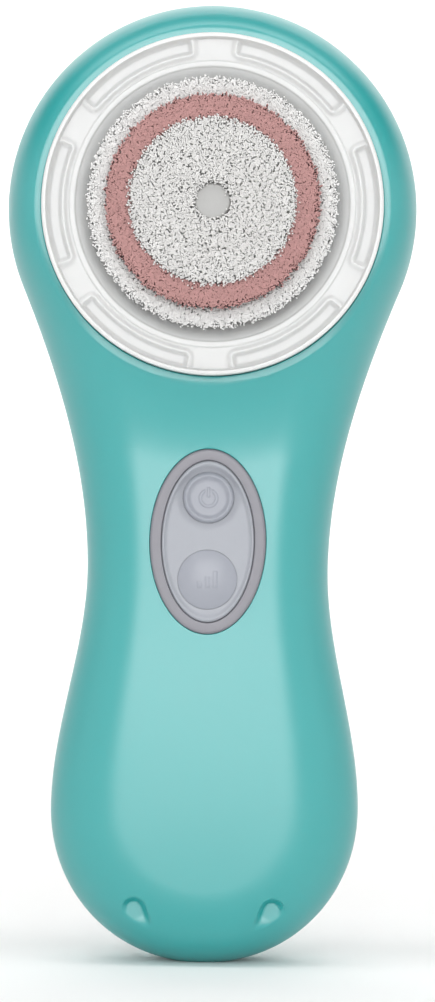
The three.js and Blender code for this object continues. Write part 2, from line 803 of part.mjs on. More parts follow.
function putBoard() {
  const board = box(-boardHalfWidth, boardHalfWidth, boardFrontY, boardBackY, boardBottom, boardTop);
  const holes = boardScrews.map(([x, z]) => pilotHole(boardFrontY - past, boardBackY + past, x, z));
  put(keypad, "circuit_board", cut(board, ...holes), boardGreen());

  const half = switchWidth / 2;
  const mountY = boardFrontY - solderGap;
  for (const { name, z } of buttons) {
    const can = box(-half, half, switchFrontY, mountY, z - half, z + half);
    const well = rod(plungerRadius + runGap, switchFrontY - past, mountY - switchBase, 0, z, 20);
    put(keypad, `${name}_switch`, cut(can, well), chipBlack());
    const plunger = rod(plungerRadius, plungerFrontY, plungerFrontY + plungerLength, 0, z, 20);
    put(keypad, `${name}_switch_plunger`, plunger, naturalNylon());
  }

  const chipHalf = chipWidth / 2;
  const chipX = chipHalf + chipRight;
  const chipZ = boardBottom + chipHalf + chipUp;
  const chip = box(
    chipX - chipHalf,
    chipX + chipHalf,
    mountY - chipHeight,
    mountY,
    chipZ - chipHalf,
    chipZ + chipHalf,
  );
  put(keypad, "control_chip", chip, chipBlack());
  const ledHalf = ledWidth / 2;
  const led = box(-ledHalf, ledHalf, mountY - ledHeight, mountY, -ledDrop, ledDrop + ledHalf);
  put(keypad, "charge_lamp", led, lampClear());
  for (const [name, { x, z }] of Object.entries(connectors)) {
    const wide = connectorWidth / 2;
    const tall = connectorHalfHeight;
    const block = box(x - wide, x + wide, mountY - connectorHeight, mountY, z - tall, z + tall);
    put(keypad, `${name}_connector`, block, naturalNylon());
  }
  boardScrews.forEach(([x, z], i) => {
    put(keypad, `board_screw_${i + 1}`, screw(boardScrewLength), steel());
    const placed = keypad.children.at(-1);
    placed.rotation.x = Math.PI;
    placed.position.set(x, boardFrontY - seatGap, z);
  });
}

const batteryTop = batteryBottom + batteryLength;
const frameBottom = batteryBottom - frameBelowBattery;
const upperTabZ = batteryTop + batteryNubHeight + seatGap;
const lowerTabZ = batteryBottom - seatGap - tabThickness;

function putFrame() {
  const top = keypadHeight + boardAbovePad;
  const base = box(-frameHalfWidth, frameHalfWidth, frameFrontY, frameBackY, frameBottom, top);
  const railX = batteryRadius + seatGap;
  const railY = frameBackY + frameRailHeight;
  const outerX = railX + frameRail;
  const upperWallZ = upperTabZ + tabThickness + seatGap;
  const rails = [1, -1].map((side) => {
    const [low, high] = [side * railX, side * outerX].sort((a, b) => a - b);
    return box(low, high, frameFrontY, railY, frameBottom, upperWallZ + frameEndWall);
  });
  const wallLow = frameBottom - lowerWallExtra;
  const lowerWall = box(-outerX, outerX, frameFrontY, railY, wallLow, lowerTabZ - seatGap);
  const upperWall = box(-outerX, outerX, frameFrontY, railY, upperWallZ, upperWallZ + frameEndWall);
  const ears = frameScrews.map((x) => {
    const reach = Math.sign(x) * frameEarWidth;
    const [low, high] = [x - reach, x + reach].sort((a, b) => a - b);
    const half = frameEarHalfHeight;
    return box(low, high, frameFrontY, frameBackY, frameScrewHeight - half, frameScrewHeight + half);
  });
  const bosses = boardScrews.map(([x, z]) =>
    rod(boardBossRadius, frameFrontY, frameBackY + boardBossReach, x, keypadHeight + z, 20),
  );
  const coilSeat = rod(ferriteRadius, ferriteBackY + seatGap, frameBackY, 0, chargeHeight, 36);
  const earHoles = frameScrews.map((x) =>
    pilotHole(frameFrontY - past, frameBackY + past, x, frameScrewHeight),
  );
  const boardHoles = boardScrews.map(([x, z]) =>
    pilotHole(frameFrontY - past, frameFrontY + boardScrewLength, x, keypadHeight + z),
  );
  const whole = join(base, ...rails, lowerWall, upperWall, ...ears, ...bosses, coilSeat);
  put(body, "inner_frame", cut(whole, ...earHoles, ...boardHoles), innerPlastic());
  frameScrews.forEach((x, i) => {
    const name = `frame_screw_${i + 1}`;
    putScrew(body, name, screwLength - 1, x, frameBackY + seatGap, frameScrewHeight);
  });
}

// A cell along Z: a plain can with its raised positive end up.
function putBattery() {
  const profile = [
    [0, batteryBottom],
    [batteryRadius - cellRim, batteryBottom],
    [batteryRadius, batteryBottom + cellRim],
    [batteryRadius, batteryTop - cellRim],
    [batteryRadius - cellRim, batteryTop],
    [batteryNubRadius, batteryTop],
    [batteryNubRadius, batteryTop + batteryNubHeight],
    [0, batteryTop + batteryNubHeight],
  ].map(([radius, z]) => new THREE.Vector2(radius, z));
  const cell = new THREE.LatheGeometry(profile, 32).rotateX(Math.PI / 2);
  put(body, "battery_cell", solid(cell.translate(0, batteryY, 0)), batteryWrap());

  const tab = (z) =>
    box(-tabHalfWidth, tabHalfWidth, batteryY - tabFront, batteryY + tabBack, z, z + tabThickness);
  put(body, "battery_tab_upper", tab(upperTabZ), steel());
  put(body, "battery_tab_lower", tab(lowerTabZ), steel());

  const foamY = batteryBackY + seatGap;
  const foamHalf = foamWidth / 2;
  const low = batteryBottom + foamFromEnd;
  const high = batteryTop - foamFromEnd;
  const foamBackY = backDepth(high, wall) - seatGap * 2;
  const foam = box(-foamHalf, foamHalf, foamY, foamBackY, low, high);
  put(body, "battery_foam", foam, foamGrey());
}

// ---------------------------------------------------------------------------------------------
// Charging: pick-up coil, ferrite and the magnets behind the two dimples
// ---------------------------------------------------------------------------------------------

const chargeCoilY = -bulbFront + wall + 1;
const ferriteY = chargeCoilY + chargeCoilThickness + seatGap;
const ferriteBackY = ferriteY + ferriteThickness;

function putCharging() {
  const coil = tube(chargeCoilRadius, chargeCoilBore, chargeCoilY, ferriteY - seatGap, 0, chargeHeight, 36);
  put(body, "charging_coil", coil, copper());
  const disc = rod(ferriteRadius, ferriteY, ferriteBackY, 0, chargeHeight, 36);
  put(body, "ferrite_disc", disc, ferrite());
  dimpleSides.forEach((x, i) => {
    const y = dimpleFloorY + dimpleWall + seatGap;
    const magnet = rod(chargeMagnetRadius, y, y + chargeMagnetThickness, x, dimpleHeight, 24);
    put(body, `charge_magnet_${i ? "right" : "left"}`, magnet, steel());
  });
}

// ---------------------------------------------------------------------------------------------
// Motor, in the head's frame
// ---------------------------------------------------------------------------------------------

const magnetInner = backIronRadius + backIronThickness + seatGap;
const magnetOuter = magnetInner + magnetThickness;
const poleRadius = magnetOuter + airGap;
const armatureBackY = stackBackY - armatureShort;
const windowTop = -poleRadius - 1;
const windowBottom = -statorDrop + statorYoke;
const coilHalf = statorHalfWidth - statorOuterLeg - moveGap;

function armatureShape() {
  const shape = new THREE.Shape();
  const down = -Math.PI / 2;
  const armTop = -Math.sqrt(armatureHubRadius ** 2 - armatureArmHalf ** 2);
  const armLow = -Math.sqrt(backIronRadius ** 2 - armatureArmHalf ** 2);
  const spread = magnetToEdge + ironPastMagnet;
  const armSide = Math.asin(armatureArmHalf / backIronRadius);
  shape.moveTo(armatureArmHalf, armTop);
  shape.lineTo(armatureArmHalf, armLow);
  shape.absarc(0, 0, backIronRadius, down + armSide, down + spread, false);
  shape.absarc(0, 0, backIronRadius + backIronThickness, down + spread, down - spread, true);
  shape.absarc(0, 0, backIronRadius, down - spread, down - armSide, false);
  shape.lineTo(-armatureArmHalf, armTop);
  shape.closePath();
  return shape;
}

// Three legs that point up at the magnets; their ends follow a circle about the spindle.
function statorShape() {
  const shape = new THREE.Shape();
  const legIn = statorHalfWidth - statorOuterLeg;
  shape.moveTo(-statorHalfWidth, -statorDrop);
  shape.lineTo(statorHalfWidth, -statorDrop);
  shape.lineTo(statorHalfWidth, -backIronRadius);
  shape.lineTo(legIn, -backIronRadius);
  shape.lineTo(legIn, windowBottom);
  shape.lineTo(statorCentreLeg, windowBottom);
  shape.lineTo(statorCentreLeg, -backIronRadius);
  shape.lineTo(-statorCentreLeg, -backIronRadius);
  shape.lineTo(-statorCentreLeg, windowBottom);
  shape.lineTo(-legIn, windowBottom);
  shape.lineTo(-legIn, -backIronRadius);
  shape.lineTo(-statorHalfWidth, -backIronRadius);
  shape.closePath();
  return shape;
}

function putStator() {
  const legs = plate(statorShape(), stackY, stackBackY);
  const sweep = rod(poleRadius, stackY - past, stackBackY + past, 0, 0, 72);
  put(head, "stator_core", cut(legs, sweep), lamination());

  const legX = statorCentreLeg + seatGap;
  const legY0 = stackY - seatGap;
  const legY1 = stackBackY + seatGap;
  const low = windowBottom + seatGap;
  const through = box(-legX, legX, legY0, legY1, low - past, windowTop + past);
  const coreX = legX + bobbinWall;
  const barrel = box(-coreX, coreX, legY0 - bobbinWall, legY1 + bobbinWall, low, windowTop);
  const flangeY0 = legY0 - bobbinWall - coilBuild;
  const flangeY1 = legY1 + bobbinWall + coilBuild;
  const lowFlange = box(-coilHalf, coilHalf, flangeY0, flangeY1, low, low + bobbinWall);
  const highFlange = box(-coilHalf, coilHalf, flangeY0, flangeY1, windowTop - bobbinWall, windowTop);
  put(head, "coil_bobbin", cut(join(barrel, lowFlange, highFlange), through), naturalNylon());

  const gap = faceGap;
  const woundX = coilHalf - gap;
  const z0 = low + bobbinWall + gap;
  const z1 = windowTop - bobbinWall - gap;
  const wound = box(-woundX, woundX, flangeY0 + gap, flangeY1 - gap, z0, z1);
  const hollow = box(
    -coreX - gap,
    coreX + gap,
    legY0 - bobbinWall - gap,
    legY1 + bobbinWall + gap,
    z0 - past,
    z1 + past,
  );
  put(head, "motor_coil", cut(wound, hollow), copper());
}

function putArmature() {
  const arm = plate(armatureShape(), stackY, armatureBackY, 10);
  const hub = rod(armatureHubRadius, stackY, armatureBackY, 0, 0, 36);
  const forkHalf = leafFromCentre + forkWall;
  const forkTop = leafBottom + forkReach;
  const fork = box(-forkHalf, forkHalf, stackY, armatureBackY, 0, forkTop);
  const leafSlots = [-leafFromCentre, leafFromCentre].map((x) => {
    const half = leafThickness / 2 + moveGap;
    const low = leafBottom - moveGap;
    return box(x - half, x + half, stackY - past, armatureBackY + past, low, forkTop + past);
  });
  const bore = rod(spindleRadius + runGap, stackY - past, armatureBackY + past, 0, 0, 36);
  put(head, "armature", cut(join(arm, hub, fork), ...leafSlots, bore), steel());

  for (const [name, side] of [["left", -1], ["right", 1]]) {
    const [from, to] = [side * magnetFromCentre, side * magnetToEdge].sort((a, b) => a - b);
    const shape = arcShape(magnetInner, magnetOuter, from, to);
    put(head, `rotor_magnet_${name}`, plate(shape, stackY, armatureBackY, 8), steel());
  }
}

function putSprings() {
  const middle = (stackY + armatureBackY) / 2;
  const y0 = middle - leafWidth / 2;
  const y1 = middle + leafWidth / 2;
  const half = leafThickness / 2;
  const clampTop = leafTop + clampRoof;
  const block = box(-clampHalfWidth, clampHalfWidth, stackY, stackBackY, clampBottom, clampTop);
  const slots = [];
  for (const [name, side] of [["left", -1], ["right", 1]]) {
    const x = side * leafFromCentre;
    put(head, `leaf_spring_${name}`, box(x - half, x + half, y0, y1, leafBottom, leafTop), steel());
    const wide = half + seatGap;
    const low = clampBottom - past;
    const high = leafTop + seatGap;
    slots.push(box(x - wide, x + wide, stackY - past, stackBackY + past, low, high));
  }
  put(head, "spring_clamp", cut(block, ...slots), innerPlastic());
}

function putPlates() {
  const reach = postCircle + motorPostRadius + 0.5;
  const clearPosts = motorPosts.map(([x, z]) =>
    rod(motorPostRadius + moveGap, frontPlateY - past, frontPlateBackY + past, x, z, 20),
  );
  const bushSeat = bushRadius + seatGap;
  const frontDisc = rod(reach - 1, frontPlateY, frontPlateBackY, 0, 0, 48);
  const frontBossY = frontPlateBackY + bushBossHeight;
  const frontBoss = rod(bushRadius + bushWall, frontPlateY, frontBossY, 0, 0, 36);
  const frontBore = rod(bushSeat, frontPlateY - past, frontBossY + past, 0, 0, 36);
  const windowX = coilHalf + 1;
  const coilWindow = box(
    -windowX,
    windowX,
    frontPlateY - past,
    frontPlateBackY + past,
    -statorDrop,
    windowTop + past,
  );
  const frontPlate = cut(join(frontDisc, frontBoss), frontBore, coilWindow, ...clearPosts);
  put(head, "motor_front_plate", frontPlate, innerPlastic());

  const disc = rod(reach, rearPlateY, rearPlateBackY, 0, 0, 48);
  const tongue = box(-statorHalfWidth, statorHalfWidth, rearPlateY, rearPlateBackY, -statorDrop, -12);
  const boss = rod(bushRadius + bushWall, rearPlateY, rearBushEndY - seatGap, 0, 0, 36);
  const bore = rod(bushSeat, rearPlateY - past, rearBushEndY + past, 0, 0, 36);
  const window = box(
    -coilHalf - moveGap,
    coilHalf + moveGap,
    rearPlateY - past,
    rearPlateBackY + past,
    windowBottom - moveGap,
    windowTop + moveGap,
  );
  const holes = motorPosts.map(([x, z]) => pilotHole(rearPlateY - past, rearPlateBackY + past, x, z));
  put(head, "motor_rear_plate", cut(join(disc, tongue, boss), bore, window, ...holes), innerPlastic());
  motorPosts.forEach(([x, z], i) => {
    putScrew(head, `motor_screw_${i + 1}`, screwLength, x, rearPlateBackY + seatGap, z);
  });
}

function putSpindle() {
  const bushBore = spindleRadius + runGap;
  const frontBushEndY = frontPlateBackY + bushBossHeight;
  const frontBush = tube(bushRadius, bushBore, frontPlateY - faceGap, frontBushEndY, 0, 0, 36);
  const rearBush = tube(bushRadius, bushBore, rearPlateY - faceGap, rearBushEndY, 0, 0, 36);
  put(head, "front_bush", frontBush, brass());
  put(head, "rear_bush", rearBush, brass());
  const frontEnd = hubFrontY - spindleSunk;
  const shaft = rod(spindleRadius, frontEnd, spindleHeadY + 0.5, 0, 0, 36);
  const spindleHead = rod(spindleHeadRadius, spindleHeadY, spindleEndY, 0, 0, 36);
  put(head, "spindle", join(shaft, spindleHead), steel());

  const barrel = rod(hubRadius, hubFrontY, floorBackY, 0, 0, 36);
  const long = driveKeyLength / 2;
  const wide = driveKeyWidth / 2;
  const key = join(
    box(-long, long, driveKeyFrontY, hubFrontY + 0.5, -wide, wide),
    box(-wide, wide, driveKeyFrontY, hubFrontY + 0.5, -long, long),
  );
  const bore = rod(spindleRadius + runGap, frontEnd - seatGap, floorBackY + past, 0, 0, 36);
  put(head, "drive_hub", cut(join(barrel, key), bore), innerPlastic());

  const innerRadius = hubRadius + moveGap;
  const flangeBack = floorY - faceGap;
  const flangeFront = flangeBack - sealFlangeThickness;
  const neckRadius = hubHoleRadius - seatGap;
  const seal = turned(
    [
      [innerRadius, flangeFront],
      [sealFlangeRadius, flangeFront],
      [sealFlangeRadius, flangeBack],
      [neckRadius, flangeBack],
      [neckRadius, floorBackY],
      [neckRadius - sealNeckWall, floorBackY],
      [neckRadius - sealNeckWall, floorY],
      [innerRadius, floorY],
    ].reverse(),
    36,
  );
  put(head, "drive_seal", seal, rubber());
}

// ---------------------------------------------------------------------------------------------
// Brush head, in the head's frame
// ---------------------------------------------------------------------------------------------

// A fixed ring with six arc-shaped pockets between notches. Its front carries the outer tufts.
function brushRing() {
  const ribY = ringLipY + ribBelowLip;
  const pocketY = ribY + pocketBelowRib;
  const skirtInner = ringRadius - ringSkirt;
  const ring = turned([
    [ringBore, coreBackY],
    [ringBore, tuftPlaneY],
    [flangeRadius, tuftPlaneY],
    [flangeRadius + bowlWidth * 0.6, pocketY],
    [ribInnerRadius, ribY],
    [ribOuterRadius, ribY],
    [ribOuterRadius, pocketY],
    [lipInnerRadius, pocketY],
    [lipInnerRadius, ringLipY],
    [ringRadius - ringChamfer, ringLipY],
    [ringRadius, ringLipY + ringChamfer],
    [ringRadius, ringBackY],
    [skirtInner, ringBackY],
    [skirtInner, pocketY + 1.6],
    [flangeRadius + 0.5, coreBackY],
  ], 60);
  const notches = [];
  const walls = [];
  for (let i = 0; i < notchCount; i++) {
    const middle = (i * Math.PI * 2) / notchCount;
    const [from, to] = [middle - notchHalfAngle, middle + notchHalfAngle];
    const gap = arcShape(ribInnerRadius - 2, ribOuterRadius + 0.1, from, to);
    notches.push(plate(gap, ringLipY - 1, pocketY, 4));
    for (const angle of [from, to]) {
      const thin = ribWidth / ribOuterRadius / 2;
      const shape = arcShape(ribInnerRadius, lipInnerRadius + 0.3, angle - thin, angle + thin);
      walls.push(plate(shape, ribY, pocketY + 0.4, 3));
    }
  }
  return join(cut(ring, ...notches), ...walls);
}

function putBrushHead() {
  put(head, "brush_ring", brushRing(), frostWhite());

  const plateOuter = ringRadius - ringSkirt - seatGap;
  const disc = tube(plateOuter, backPlateBore, backPlateY, backPlateY + backPlateThickness, 0, 0, 48);
  const lugs = keyBlocks(Math.PI / keyCount, backPlateY + 1, ringBackY + 0.9, 0);
  put(head, "brush_back_plate", join(disc, ...lugs), frostWhite());

  const outerTufts = turned([
    [ringBore + tuftInset, tuftPlaneY - seatGap],
    [flangeRadius - tuftInset, tuftPlaneY - seatGap],
    [flangeRadius + 0.2, tuftPlaneY - outerTuftLength],
    [ringBore + tuftInset + tuftSplay, tuftPlaneY - outerTuftLength],
  ], 48);
  put(head, "outer_bristles", outerTufts, bristleWhite());

  const face = rod(coreRadius, tuftPlaneY, coreBackY, 0, 0, 60);
  const boss = rod(coreBossRadius, tuftPlaneY, hubFrontY - 0.2, 0, 0, 36);
  const long = driveKeyLength / 2 + moveGap;
  const wide = driveKeyWidth / 2 + moveGap;
  const roof = driveKeyFrontY - moveGap;
  const socket = join(
    box(-long, long, roof, hubFrontY + past, -wide, wide),
    box(-wide, wide, roof, hubFrontY + past, -long, long),
  );
  const pinHole = rod(pinStemRadius + seatGap, tuftPlaneY - past, roof + past, 0, 0, 20);
  put(head, "brush_core", cut(join(face, boss), socket, pinHole), frostWhite());

  const pinTop = tuftPlaneY - seatGap;
  const pin = turned([
    [0, roof - 0.1],
    [0, pinTop - pinHeadHeight],
    [pinHeadRadius - pinChamfer, pinTop - pinHeadHeight],
    [pinHeadRadius, pinTop - pinHeadHeight + pinChamfer],
    [pinHeadRadius, pinTop],
    [pinStemRadius, pinTop],
    [pinStemRadius, roof - 0.1],
  ], 24);
  put(head, "centre_pin", pin, bezelGrey());

  const bandOuter = coreRadius - 0.3;
  const bandInner = bandOuter - colourBandWidth;
  const tip = tuftPlaneY - tuftLength;
  const rooted = tuftPlaneY - seatGap;
  const band = turned([
    [bandInner, rooted],
    [bandOuter, rooted],
    [bandOuter + tuftSplay, tip],
    [bandInner + 0.2, tip],
  ], 48);
  put(head, "colour_bristles", band, bristleRose());
  const field = turned([
    [whiteFieldBore, rooted],
    [bandInner - 0.3, rooted],
    [bandInner - 0.1, tip],
    [bandInner - 2, tip - 0.5],
    [whiteFieldBore, tip - 0.5],
  ], 48);
  put(head, "white_bristles", field, bristleWhite());
}

// ---------------------------------------------------------------------------------------------
// Leads: battery to board, board to motor coil
// ---------------------------------------------------------------------------------------------

// An insulated wire with eight flat sides along a smooth curve through its points.
function lead(points) {
  const path = new THREE.CatmullRomCurve3(points.map((p) => new THREE.Vector3(...p)));
  const section = new THREE.Shape();
  section.absarc(0, 0, leadRadius, 0, Math.PI * 2);
  const options = { steps: points.length * 4, extrudePath: path, curveSegments: 4 };
  return solid(new THREE.ExtrudeGeometry(section, options));
}

function putLeads() {
  const aboveBoard = boardFrontY - connectorHeight / 2 - leadRadius;
  const battery = connectors.battery;
  const plugZ = keypadHeight + battery.z;
  const plugX = battery.x - connectorWidth / 2 - 0.4;
  const tabX = -tabHalfWidth - 0.8;
  const railX = -batteryRadius - 1.2;
  const sideX = -frameScrewX - frameEarWidth - leadRadius - 0.6;
  const plus = [
    [tabX, batteryY + 0.6, upperTabZ + 0.2],
    [railX, batteryY + 1, upperTabZ + 0.5],
    [sideX + 2, batteryY - 2, upperTabZ - 3],
    [sideX + 1, frameBackY, plugZ + 2.6],
    [plugX - 3.5, aboveBoard, plugZ + 2],
    [plugX, aboveBoard, plugZ + 1],
  ];
  const minus = [
    [tabX, batteryY + 0.6, lowerTabZ - 0.5],
    [railX, batteryY + 1, lowerTabZ - 0.5],
    [sideX + 3, batteryY - 2, lowerTabZ + 5],
    [sideX, frameBackY, frameScrewHeight - 7],
    [sideX, frameFrontY - 1, plugZ - 11.4],
    [plugX - 3.5, aboveBoard, plugZ - 2],
    [plugX, aboveBoard, plugZ - 1],
  ];
  put(body, "battery_lead_plus", lead(plus), wireRed());
  put(body, "battery_lead_minus", lead(minus), wireBlack());

  const motor = connectors.motor;
  const outZ = keypadHeight + motor.z + 2 + 0.2;
  const coilZ = headHeight + windowBottom + seatGap + bobbinWall / 2;
  const coilY = stackY - seatGap - bobbinWall - coilBuild - leadRadius - 0.2;
  [-1.2, 1.2].forEach((offset, i) => {
    const x = motor.x + offset;
    const points = [
      [x, aboveBoard, outZ],
      [x, aboveBoard, outZ + 2],
      [x - 1.5, lerp(aboveBoard, coilY, 0.6), lerp(outZ, coilZ, 0.6)],
      [x - 2.5, coilY, coilZ - 1.5],
      [x - 2.5, coilY, coilZ + 0.2],
    ];
    put(body, `motor_lead_${i + 1}`, lead(points), i ? wireBlack() : wireRed());
  });
}

putHousing();
putKeypad();
putBoard();
putFrame();
putBattery();
putCharging();
putStator();
putArmature();
putSprings();
putPlates();
putSpindle();
putBrushHead();
putLeads();

export default brush;
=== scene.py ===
import json
import math

import bpy
import numpy as np
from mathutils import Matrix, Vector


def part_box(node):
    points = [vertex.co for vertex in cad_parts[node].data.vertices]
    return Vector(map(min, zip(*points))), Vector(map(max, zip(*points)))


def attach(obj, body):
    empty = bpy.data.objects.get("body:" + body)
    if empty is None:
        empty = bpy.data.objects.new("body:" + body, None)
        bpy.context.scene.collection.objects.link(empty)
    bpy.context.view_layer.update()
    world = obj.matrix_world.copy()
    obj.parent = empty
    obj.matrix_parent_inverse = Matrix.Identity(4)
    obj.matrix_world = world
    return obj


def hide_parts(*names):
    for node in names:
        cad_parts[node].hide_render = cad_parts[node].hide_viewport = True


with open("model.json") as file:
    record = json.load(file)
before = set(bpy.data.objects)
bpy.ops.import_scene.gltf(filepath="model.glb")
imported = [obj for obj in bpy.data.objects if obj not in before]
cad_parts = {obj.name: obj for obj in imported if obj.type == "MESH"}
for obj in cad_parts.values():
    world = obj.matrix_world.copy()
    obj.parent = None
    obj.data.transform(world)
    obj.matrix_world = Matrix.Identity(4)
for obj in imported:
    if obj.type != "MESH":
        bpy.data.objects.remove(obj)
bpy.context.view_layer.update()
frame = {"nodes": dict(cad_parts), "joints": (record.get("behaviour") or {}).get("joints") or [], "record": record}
mm = 0.001

# ---------------------------------------------------------------------------------------------
# Camera: a long lens level with the middle of the handle, straight in front of the brush.
# ---------------------------------------------------------------------------------------------

camera_across = 1.4 * mm
camera_away = 652 * mm
camera_up = 72.4 * mm
camera_roll = math.radians(-0.8)
camera_data = bpy.data.cameras.new("camera")
camera = bpy.data.objects.new("camera", camera_data)
bpy.context.scene.collection.objects.link(camera)
camera_data.lens = 148.8
camera_data.sensor_width = 36
camera_data.clip_end = 10
camera.location = (camera_across, -camera_away, camera_up)
camera.rotation_euler = (math.radians(90), camera_roll, 0)
bpy.context.scene.camera = camera


# ---------------------------------------------------------------------------------------------
# Rear shell: the back half of the handle, injection-moulded in satin teal plastic with a 2 mm
# wall. It meets the front half at a thin parting line that runs all the way round.
# ---------------------------------------------------------------------------------------------

wall = 2 * mm
seam_y = 1.5 * mm
seam_gap = 0.3 * mm
head_z = frame["joints"][0]["pos_m"][2]
head_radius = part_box("front_shell")[1][0]
bulb_z = 24 * mm
bulb_half = 24.2 * mm
waist_z = head_z - 56.5 * mm
waist_half = 18.95 * mm
neck_taper = math.radians(22.5)
end_power = 2.05
low_end = -0.35 * mm
back_flat = 0.25
back_power = 2.3
back_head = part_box("rear_shell")[1][1] - seam_y
back_waist = back_head - 1.25 * mm
back_bulb = back_waist + 1 * mm


def smooth(t):
    """0 below 0, 1 above 1, and 3t^2 - 2t^3 between."""
    t = np.clip(t, 0, 1)
    return t * t * (3 - 2 * t)


def mix(a, b, t):
    """a plus the share t of the way to b."""
    return a + (b - a) * t


def half_width(z, inset=0.0):
    """Half the body's width at height z, less an inset. The lower end is a superellipse, the grip
    goes from bulb to waist on a smooth step, the neck is a cubic that leaves the waist upright and
    meets the head's circle along its tangent, and the head is that circle."""
    bulb, waist, radius = bulb_half - inset, waist_half - inset, head_radius - inset
    low = bulb_z - low_end - inset
    down = np.clip(bulb_z - z, 0, None) / low
    end = bulb * np.clip(1 - down**end_power, 0, 1) ** (1 / end_power)
    grip = mix(bulb, waist, smooth((z - bulb_z) / (waist_z - bulb_z)))
    leave_z = head_z - radius * math.sin(neck_taper)
    span = leave_z - waist_z
    t = np.clip((z - waist_z) / span, 0, 1)
    rise = span * math.tan(neck_taper) * (t**3 - t**2)
    neck = mix(waist, radius * math.cos(neck_taper), smooth(t)) + rise
    head = np.sqrt(np.clip(radius**2 - (z - head_z) ** 2, 0, None))
    return np.select([z < bulb_z, z < waist_z, z < leave_z], [end, grip, neck], head)


def share_out(x, z, inset=0.0):
    """How far a point lies from the body's middle line towards its outline, from 0 to 1: the
    superellipse's own radius at the lower end, the circle's in the head, and |x| over the half
    width between."""
    low = bulb_z - low_end - inset
    down = np.clip(bulb_z - z, 0, None) / low
    end = ((np.abs(x) / (bulb_half - inset)) ** end_power + down**end_power) ** (1 / end_power)
    head = np.hypot(x, z - head_z) / (head_radius - inset)
    middle = np.abs(x) / np.maximum(half_width(z, inset), 1e-6)
    return np.clip(np.select([z < bulb_z, z < head_z], [end, middle], head), 0, 1)


def edge(share, flat, power):
    """1 as far as the flat share, then a superellipse quarter that falls to 0 at the outline."""
    past = np.clip((share - flat) / (1 - flat), 0, 1)
    return np.clip(1 - past**power, 0, 1) ** (1 / power)


def back_y(x, z, inset=0.0):
    """Y of the rear surface: the depth of the grip or head times the rounding of its edge."""
    grip = mix(back_bulb, back_waist, smooth((z - bulb_z) / (waist_z - bulb_z)))
    low_neck = waist_z + 10 * mm
    depth = mix(grip, back_head, smooth((z - low_neck) / (head_z - low_neck))) - inset
    rounded = depth * edge(share_out(x, z, inset), back_flat, back_power)
    return seam_y + np.maximum(rounded, seam_gap / 2)


def ends_dense(count):
    """count numbers from 0 to 1 that lie close together at both ends: half of 1 - cos."""
    return (1 - np.cos(np.linspace(0, math.pi, count))) / 2


def rows_between(stops, counts):
    """Heights from the first stop to the last, dense at every stop."""
    parts = [mix(a, b, ends_dense(n + 1))[:-1] for a, b, n in zip(stops, stops[1:], counts)]
    return np.concatenate([*parts, [stops[-1]]])


def mesh_object(name, points, triangles, crease=35):
    """A mesh from arrays of points and triangles, smooth but for edges sharper than crease."""
    a, b, c = triangles.T
    triangles = triangles[(a != b) & (b != c) & (c != a)]
    used, triangles = np.unique(triangles, return_inverse=True)
    triangles = triangles.reshape(-1, 3)
    mesh = bpy.data.meshes.new(name)
    mesh.vertices.add(len(used))
    mesh.vertices.foreach_set("co", np.ascontiguousarray(points[used], dtype=np.float32).ravel())
    mesh.loops.add(triangles.size)
    mesh.loops.foreach_set("vertex_index", triangles.astype(np.int32).ravel())
    mesh.polygons.add(len(triangles))
    mesh.polygons.foreach_set("loop_start", np.arange(0, triangles.size, 3, dtype=np.int32))
    mesh.polygons.foreach_set("use_smooth", np.ones(len(triangles), dtype=bool))
    mesh.update(calc_edges=True)
    mesh.validate()
    mesh.set_sharp_from_angle(angle=math.radians(crease))
    made = bpy.data.objects.new(name, mesh)
    bpy.context.scene.collection.objects.link(made)
    return made


def grid_triangles(index):
    """Two triangles for each cell of a grid of point numbers."""
    a, b, c, d = index[:-1, :-1], index[:-1, 1:], index[1:, 1:], index[1:, :-1]
    pairs = np.stack([np.stack([a, b, c], -1), np.stack([a, c, d], -1)], 2)
    return pairs.reshape(-1, 3)


def two_sheets(name, outer, inner, index, columns, faces_back):
    """A closed wall from two sheets with the same rows and columns. Both take the triangles of the
    index, the inner ones the other way round, and two more triangles join each open edge of the
    outer sheet to the same edge of the inner one. The sheet has a left and a right half."""
    count = index.size
    halves = [grid_triangles(index[:, : columns + 1]), grid_triangles(index[:, columns + 1 :])]
    skin = np.concatenate(halves)
    if faces_back:
        skin = skin[:, ::-1]
    a, b, c = skin.T
    skin = skin[(a != b) & (b != c) & (c != a)]
    edges = np.concatenate([skin[:, [0, 1]], skin[:, [1, 2]], skin[:, [2, 0]]])
    key = edges[:, 0].astype(np.int64) * count + edges[:, 1]
    back = edges[:, 1].astype(np.int64) * count + edges[:, 0]
    start, end = edges[~np.isin(key, back)].T
    near = np.stack([end, start, start + count], -1)
    far = np.stack([end, start + count, end + count], -1)
    points = np.concatenate([outer.reshape(-1, 3), inner.reshape(-1, 3)])
    return mesh_object(name, points, np.concatenate([skin, skin[:, ::-1] + count, near, far]))


